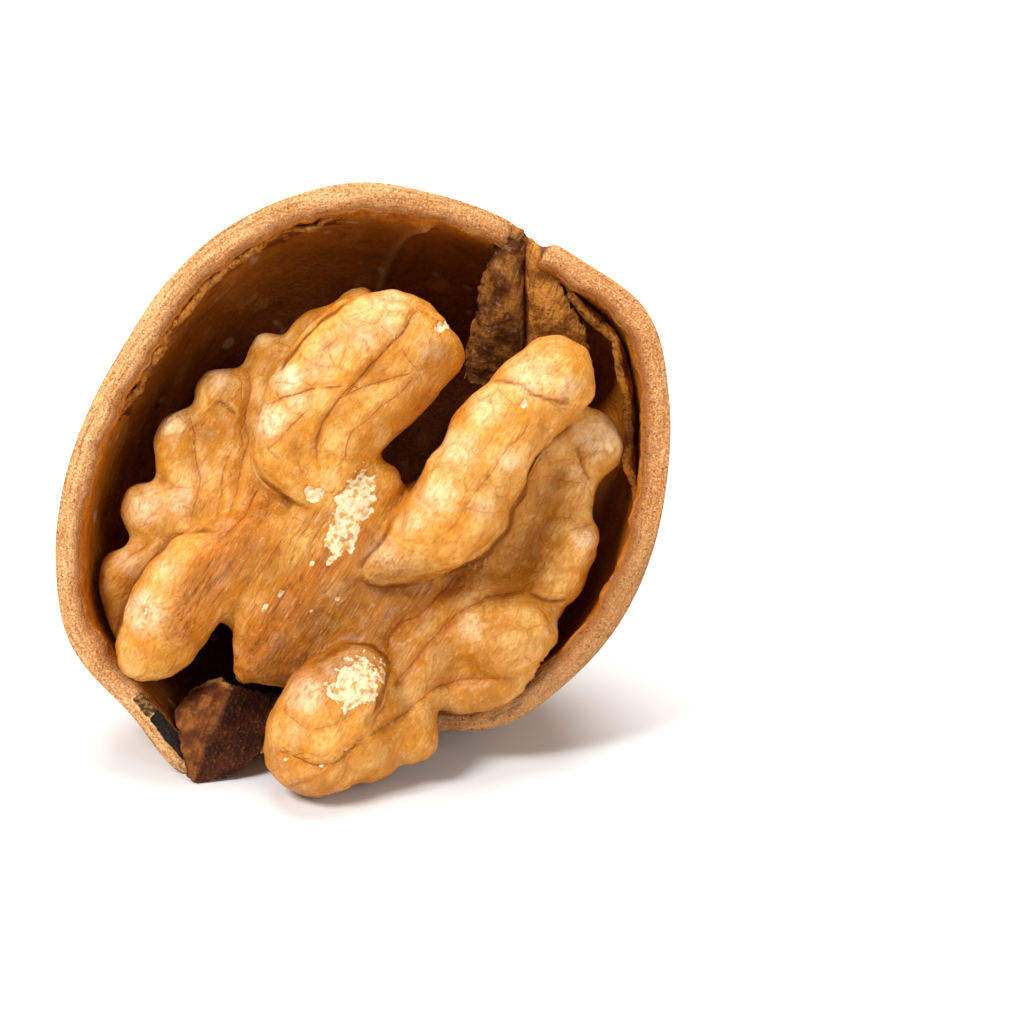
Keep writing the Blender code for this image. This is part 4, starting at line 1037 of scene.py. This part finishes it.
    # Where the film is rubbed off, its edge is ragged and stained.
    torn = mark["chip"]
    for pattern, reach in ((crumb, 0.62), (speckle, 0.45)):
        torn = add_node(tree, "ShaderNodeMath", {0: pattern, 1: reach, 2: torn}, operation="MULTIPLY_ADD")
    bare = add_node(tree, "ShaderNodeMapRange", {0: torn, 1: 1.02, 2: 1.08})
    paler = add_node(tree, "ShaderNodeMapRange", {0: speckle, 1: 0.32, 2: 0.52, 3: 0.5})
    highlight_patches = add_node(tree, "ShaderNodeMath", {0: mark["pale"], 1: paler}, operation="MULTIPLY")
    lighter = add_node(tree, "ShaderNodeMapRange", {0: streak, 1: 0.50, 2: 0.68})
    pale_strand = add_node(tree, "ShaderNodeMath", {0: lighter, 1: bridged}, operation="MULTIPLY")
    flesh = washes(tree, "#D99F50", ((crumb, 0.38, 0.52, 1.0, "#FAE2B8"), (meal, 0.56, 0.40, 0.25, "#E0B070")))
    colour = washes(tree, "#D08C2A", (
        (mark["fleshy"], 0.0, 1.0, 1.0, "#E49A32"),
        (blotch, 0.44, 0.62, 0.70, "#F4BC68"),
        (blotch, 0.47, 0.30, 0.65, "#C6760E"),
        (mottle, 0.52, 0.70, 0.22, "#FAD290"),
        (mottle, 0.48, 0.32, 0.25, "#C87A10"),
        # Brown stains, partly the skin's own darker brown and partly painted shade.
        (mark["stain"], 0.0, 1.0, 0.92, "#8A4804"),
        (speckle, 0.56, 0.76, 0.12, "#F6D090"),
        (pale_strand, 0.0, 1.0, 0.55, "#D8924A"),
        (stringy, 0.0, 1.0, 1.0, "#8A4A06"),
        # Painted highlight: bulging crowns are lighter.
        (mark["hollow"], -0.10, -0.42, 0.40, "#F6CA80"),
        # Painted shade: flanks turned away from the opening and the light are browner.
        (mark["crest"], 0.80, 0.10, 0.60, "#B66208"),
        (mark["ridge"], 0.0, 1.0, 0.78, "#BC6000"),
        (charred, 0.0, 1.0, 0.95, "#663000"),
        # Painted shade: hollows are darker.
        (mark["hollow"], 0.04, 0.42, 0.50, "#A05408"),
        # Painted shade in the nooks below lapping folds and in the valleys.
        (mark["nook_shade"], 0.0, 1.0, 0.55, "#94500A"),
        # Painted shade in tight creases.
        (mark["pinch_shade"], 0.03, 0.14, 0.45, "#864204"),
        # Painted highlights on the crowns of the folds.
        (highlight_patches, 0.0, 1.0, 0.92, "#FEE6BC"),
        (halo, 0.0, 1.0, 0.55, "#C26C0C"),
        (puffed, 0.5, 0.0, 0.30, "#CC7E16"),
        (puffed, 0.6, 1.0, 0.10, "#FBD796"),
        (hairline, 0.0, 1.0, 0.45, "#B46C10"),
        (mark["crease"], 0.20, 1.0, 0.40, "#B8700F"),
        # Painted highlight along the raised edge of a lapping fold.
        (mark["lip_highlight"], 0.0, 1.0, 0.22, "#FAC878"),
        # Painted shadow line where a fold laps over its neighbour.
        (mark["seam"], 0.1, 0.8, 0.88, "#763A04"),
        (line, 0.0, 1.0, 0.80, "#9A4606"),
        (meal, 0.54, 0.36, 0.22, "#9A580C"),
        (grit, 0.50, 0.32, 0.30, "#A8640E"),
        (grit, 0.56, 0.72, 0.20, "#FEDFA6"),
        (torn, 0.84, 1.02, 0.50, "#BC7018"),
        (bare, 0.0, 1.0, 1.0, flesh),
    ))
    tree.links.new(colour, shader["Base Color"])

    # The film is oily on the crowns of the folds and drier on the bridge; bare flesh is dull.
    gloss = add_node(tree, "ShaderNodeMapRange", {0: speckle, 1: 0.3, 2: 0.7, 3: 0.38, 4: 0.50})
    for pattern, duller in ((mark["fleshy"], -0.13), (bare, 0.30)):
        gloss = add_node(tree, "ShaderNodeMath", {0: pattern, 1: duller, 2: gloss}, operation="MULTIPLY_ADD")
    tree.links.new(gloss, shader["Roughness"])
    shader["IOR"].default_value = 1.42
    shader["Specular IOR Level"].default_value = 0.24
    shader["Coat Weight"].default_value = 0.12
    shader["Coat Roughness"].default_value = 0.30
    shader["Subsurface Weight"].default_value = 0.14
    shader["Subsurface Radius"].default_value = (1.0, 0.45, 0.18)
    shader["Subsurface Scale"].default_value = 0.0012

    strands = add_node(tree, "ShaderNodeMapRange", {0: bridged, 3: 0.12, 4: 0.24})
    crumbs = add_node(tree, "ShaderNodeMath", {0: crumb, 1: bare}, operation="MULTIPLY")
    normal = relief_normal(tree, (
        (streak, strands), (grit, 0.07), (speckle, 0.07), (line, -0.07), (hairline, -0.04),
        (crumbs, 0.36), (bare, -0.15),
    ))
    tree.links.new(normal, shader["Normal"])
    return material


SHELL_MARKS = ("rim", "inside", "across", "furrow", "suture", "cork", "rib", "notch", "tip")


def shell_material():
    """Walnut shell: hard woody tissue. The eye gets a matt tan outside with darker furrows, a pale granular broken rim,
    and a dark, faintly shiny brown inside, where painted shade deepens with depth and toward the tip."""
    material, tree, shader = new_material("walnut shell wood")
    mark = {name: add_node(tree, "ShaderNodeAttribute", {}, "Fac", attribute_name=name) for name in SHELL_MARKS}
    face = add_node(tree, "ShaderNodeAttribute", {}, "Vector", attribute_name="face")
    right, up, out = add_node(tree, "ShaderNodeSeparateXYZ", {0: face}).node.outputs

    # Clouds of 3 to 4 mm, blurred spots, stone cells a quarter of a millimetre across, and grit.
    cloud, spots, cells, grit = (
        add_node(tree, "ShaderNodeTexNoise", {"Vector": face, "Scale": scale, "Detail": detail})
        for scale, detail in ((0.28, 4.0), (0.62, 1.0), (3.8, 3.0), (7.5, 2.0))
    )
    pores = add_node(tree, "ShaderNodeTexVoronoi", {"Vector": face, "Scale": 2.9}, feature="F1")
    drawn = add_node(tree, "ShaderNodeMapping", {"Vector": face, "Rotation": (0, 0, GRAIN_ANGLE),
                                                 "Scale": (4.5, 0.67, 0.67)}, vector_type="TEXTURE")
    fibre = add_node(tree, "ShaderNodeTexNoise", {"Vector": drawn, "Scale": 1.0, "Detail": 6.0, "Roughness": 0.62,
                                                  "Distortion": 0.6})
    # Layers of the wall show across the rim as lines that run along it.
    spread = add_node(tree, "ShaderNodeVectorMath", {0: face, 1: (0.22, 0.22, 0.0)}, operation="MULTIPLY")
    lift = add_node(tree, "ShaderNodeCombineXYZ", {2: mark["across"]})
    layers = add_node(tree, "ShaderNodeVectorMath", {0: lift, 1: (0.0, 0.0, 6.0), 2: spread}, operation="MULTIPLY_ADD")
    layer = add_node(tree, "ShaderNodeTexNoise", {"Vector": layers, "Scale": 1.5, "Detail": 4.0, "Roughness": 0.6})

    outside = washes(tree, "#BE854C", (
        (cloud, 0.35, 0.65, 0.8, "#D2A066"),
        (fibre, 0.56, 0.34, 0.5, "#A06A38"),
        (mark["furrow"], 0.15, 1.1, 0.62, "#804E24"),
        (cells, 0.60, 0.74, 0.3, "#E6C494"),
    ))

    # Rim: pale granular wood with dark pores, coarser on the right and weathered brown low down there.
    coarse = add_node(tree, "ShaderNodeMapRange", {0: right, 1: -6.0, 2: 10.0})
    deep = add_node(tree, "ShaderNodeMapRange", {0: pores, 1: 0.20, 2: 0.06})
    holes = add_node(tree, "ShaderNodeMath", {0: deep, 1: coarse}, operation="MULTIPLY")
    low = add_node(tree, "ShaderNodeMapRange", {0: up, 1: -1.0, 2: -6.0})
    weathered = add_node(tree, "ShaderNodeMath", {0: low, 1: coarse}, operation="MULTIPLY")
    charred, corky = (
        add_node(tree, "ShaderNodeMath", {0: cells, 1: -1.0, 2: add_node(tree, "ShaderNodeMath", {
            0: mark[name], 1: 1.4, 2: 0.25}, operation="MULTIPLY_ADD")}, operation="MULTIPLY_ADD")
        for name in ("suture", "cork")
    )
    soot = washes(tree, "#0E0703", ((cells, 0.50, 0.70, 1.0, "#38200E"),))
    bark = washes(tree, "#402612", ((cells, 0.40, 0.60, 1.0, "#946834"),))
    broken = washes(tree, "#CB8A4C", (
        (layer, 0.34, 0.64, 1.0, "#E8B276"),
        (layer, 0.44, 0.28, 0.6, "#94581C"),
        (cloud, 0.54, 0.38, 0.45, "#BE7634"),
        (coarse, 0.3, 1.0, 0.50, "#C07430"),
        (holes, 0.0, 1.0, 0.60, "#74401A"),
        (grit, 0.50, 0.36, 0.50, "#8A4E12"),
        (grit, 0.55, 0.68, 0.45, "#FCE0B2"),
        (weathered, 0.0, 1.0, 0.50, "#A0703E"),
        (mark["across"], 0.52, 0.08, 0.85, "#8E4E12"),
        (charred, 0.42, 0.60, 1.0, soot),
        (corky, 0.42, 0.60, 1.0, bark),
        (mark["notch"], 0.15, 0.7, 1.0, "#7A4520"),
    ))

    # Inside: orange-brown lining with painted shade that darkens it with depth and toward the narrow tip, a painted
    # highlight on the raised rib, and blurred pale spots.
    within = washes(tree, "#C87418", (
        # Painted shade: the wall darkens with depth inside the shell.
        (out, -0.4, -7.0, 1.0, "#A2560F"),
        (out, -6.0, -15.0, 1.0, "#80400A"),
        (cloud, 0.48, 0.68, 0.55, "#C8792A"),
        (fibre, 0.52, 0.30, 0.55, "#5A2806"),
        # Painted highlight along the raised rib.
        (mark["rib"], 0.0, 1.0, 0.7, "#C68A4C"),
        # Painted shade in the narrow tip end.
        (mark["tip"], 0.0, 1.0, 0.85, "#5E2606"),
        (spots, 0.66, 0.78, 0.6, "#D2A880"),
    ))
    colour = washes(tree, outside, ((mark["rim"], 0.0, 1.0, 1.0, broken), (mark["inside"], 0.0, 1.0, 1.0, within)))
    tree.links.new(colour, shader["Base Color"])

    dull = add_node(tree, "ShaderNodeMapRange", {0: cells, 1: 0.3, 2: 0.7, 3: 0.62, 4: 0.78})
    shine = add_node(tree, "ShaderNodeMapRange", {0: cloud, 1: 0.3, 2: 0.7, 3: 0.34, 4: 0.50})
    rough = add_node(tree, "ShaderNodeMix", {0: mark["inside"], 2: dull, 3: shine}, data_type="FLOAT")
    tree.links.new(rough, shader["Roughness"])
    shader["IOR"].default_value = 1.5
    shader["Specular IOR Level"].default_value = 0.30

    pits = add_node(tree, "ShaderNodeMath", {0: deep, 1: mark["rim"]}, operation="MULTIPLY")
    edges = add_node(tree, "ShaderNodeMath", {0: layer, 1: mark["rim"]}, operation="MULTIPLY")
    normal = relief_normal(tree, ((fibre, 0.20), (cells, 0.12), (grit, 0.10), (pits, -0.12), (edges, 0.16)))
    tree.links.new(normal, shader["Normal"])
    return material


def lining_material():
    """The wall's inner ply: thin fibrous wood. The eye gets orange brown with a paler torn edge."""
    material, tree, shader = new_material("walnut shell lining")
    edge = add_node(tree, "ShaderNodeAttribute", {}, "Fac", attribute_name="edge")
    face = add_node(tree, "ShaderNodeAttribute", {}, "Vector", attribute_name="face")
    mottle, grit = (
        add_node(tree, "ShaderNodeTexNoise", {"Vector": face, "Scale": scale, "Detail": 4.0}) for scale in (0.9, 4.2)
    )
    colour = washes(tree, "#6E3608", (
        (mottle, 0.40, 0.64, 1.0, "#A86216"),
        (edge, 0.84, 0.99, 0.7, "#B8741E"),
        (mottle, 0.46, 0.34, 0.6, "#5A2A06"),
        (grit, 0.54, 0.38, 0.6, "#4A2204"),
    ))
    tree.links.new(colour, shader["Base Color"])
    shader["Roughness"].default_value = 0.6
    shader["Specular IOR Level"].default_value = 0.25
    tree.links.new(relief_normal(tree, ((grit, 0.22), (mottle, 0.30))), shader["Normal"])
    return material


def partition_material(name, left, right, fleck):
    """The dried partition: papery on its faces and corky where it was thick. The eye gets dull brown
    fibres, with whitish flecks on the corky side."""
    material, tree, shader = new_material(name)
    across, inward = (
        add_node(tree, "ShaderNodeAttribute", {}, "Fac", attribute_name=mark) for mark in ("across", "inward")
    )
    face = add_node(tree, "ShaderNodeAttribute", {}, "Vector", attribute_name="face")
    drawn = add_node(tree, "ShaderNodeMapping", {"Vector": face, "Rotation": (0, 0, WEB_ANGLE),
                                                 "Scale": (2.2, 0.22, 0.6)}, vector_type="TEXTURE")
    fibre = add_node(tree, "ShaderNodeTexNoise", {"Vector": drawn, "Scale": 1.0, "Detail": 5.0, "Distortion": 0.8})
    mottle, dots, grit = (
        add_node(tree, "ShaderNodeTexNoise", {"Vector": face, "Scale": scale, "Detail": 5.0}) for scale in (0.8, 1.7, 5.0)
    )
    corky = add_node(tree, "ShaderNodeMapRange", {0: across, 1: 0.52, 2: 0.46})
    brink = add_node(tree, "ShaderNodeMapRange", {0: inward, 1: 0.90, 2: 0.99})
    frayed = add_node(tree, "ShaderNodeMath", {0: brink, 1: corky}, operation="MULTIPLY")
    flecks = add_node(tree, "ShaderNodeMapRange", {0: dots, 1: 0.58, 2: 0.68})
    white = add_node(tree, "ShaderNodeMath", {0: corky, 1: flecks}, operation="MULTIPLY")
    # The two halves take their own colours: real cork against paper on the stem web, and painted shade on the right
    # half of the tip web.
    flank = washes(tree, left[0], ((mottle, 0.38, 0.62, 1.0, left[1]),))
    colour = washes(tree, right[0], (
        (mottle, 0.38, 0.62, 1.0, right[1]),
        (corky, 0.0, 1.0, 1.0, flank),
        (fibre, 0.54, 0.38, 0.45, "#3A1806"),
        (grit, 0.54, 0.72, 0.20, "#C88A48"),
        (grit, 0.48, 0.32, 0.30, "#341604"),
        (frayed, 0.0, 1.0, 0.6, "#C08A50"),
        (white, 0.0, 1.0, fleck, "#B89068"),
    ))
    tree.links.new(colour, shader["Base Color"])
    shader["Roughness"].default_value = 0.72
    shader["Specular IOR Level"].default_value = 0.18
    tree.links.new(relief_normal(tree, ((fibre, 0.10), (dots, 0.25), (grit, 0.12))), shader["Normal"])
    return material


# The studio.


def add_floor():
    """A wide white sweep, so bright that only the soft shadow under the nut shows."""
    shape = bmesh.new()
    bmesh.ops.create_grid(shape, x_segments=2, y_segments=2, size=1.5)
    mesh = bpy.data.meshes.new("floor")
    shape.to_mesh(mesh)
    shape.free()
    floor = bpy.data.objects.new("floor", mesh)
    floor.location = (0.0, 0.0, -0.00005)
    bpy.context.scene.collection.objects.link(floor)
    material, _, shader = new_material("white paper sweep")
    shader["Base Color"].default_value = linear("#E4E3E2")
    shader["Roughness"].default_value = 0.9
    mesh.materials.append(material)


def add_light(name, direction, width_degrees, strength):
    """A far, soft white lamp, so that the floor is as bright all round; strength in watts a square metre."""
    light = bpy.data.lights.new(name, "SUN")
    light.angle = math.radians(width_degrees)
    light.energy = strength
    lamp = bpy.data.objects.new(name, light)
    lamp.location = Vector(direction).normalized()
    lamp.rotation_euler = (-Vector(direction)).to_track_quat("-Z", "Y").to_euler()
    bpy.context.scene.collection.objects.link(lamp)


def add_studio():
    scene = bpy.context.scene
    scene.view_settings.view_transform = "Standard"
    world = bpy.data.worlds.new("soft white room")
    world.use_nodes = True
    backdrop = world.node_tree.nodes["Background"]
    backdrop.inputs["Color"].default_value = linear("#FFFFFF")
    backdrop.inputs["Strength"].default_value = 0.30
    scene.world = world
    add_light("key_light", (-0.24, -0.20, 0.36), 21, 3.0)
    add_light("fill_light", (0.32, -0.32, 0.18), 28, 1.0)
    add_light("top_light", (0.02, 0.17, 0.40), 42, 3.4)


def add_camera():
    """Looks square at the leaning rim, as the photograph does, with the nut left of the middle."""
    right = Vector((1.0, 0.0, 0.0))
    up = Vector((0.0, math.sin(LEAN), math.cos(LEAN)))
    back = Vector((0.0, -math.cos(LEAN), math.sin(LEAN)))
    lens = bpy.data.cameras.new("camera")
    lens.lens = 150
    lens.sensor_width = 36
    view = bpy.data.objects.new("camera", lens)
    aim = RIM_MIDDLE + (9.5 * right - 2.0 * up) * MM
    width = 64.0 * MM
    place = aim + back * (width * lens.lens / lens.sensor_width)
    view.matrix_world = Matrix.Translation(place) @ Matrix((right, up, back)).transposed().to_4x4()
    bpy.context.scene.collection.objects.link(view)
    bpy.context.scene.camera = view


def main():
    add_camera()
    add_studio()
    add_floor()
    make_kernel(kernel_skin_material())
    make_shell(shell_material())
    lining = lining_material()
    for name in LININGS:
        make_lining(name, lining)
    cork = partition_material("walnut partition cork", ("#5C300C", "#AC6E2C"), ("#A05C1E", "#D48C3C"), 0.35)
    # The tip web's right half takes near-black colours: painted shade on the side of its ridge turned away from the
    # light.
    paper = partition_material("walnut partition paper", ("#582806", "#925420"), ("#2C0E00", "#4C1E06"), 0.0)
    make_web("partition_stem_web", STEM_WEB, 0.36, 1.7, cork, "partition_stem_end")
    make_web("partition_tip_web", TIP_WEB, 0.10, -0.12, paper, "partition_tip")


main()
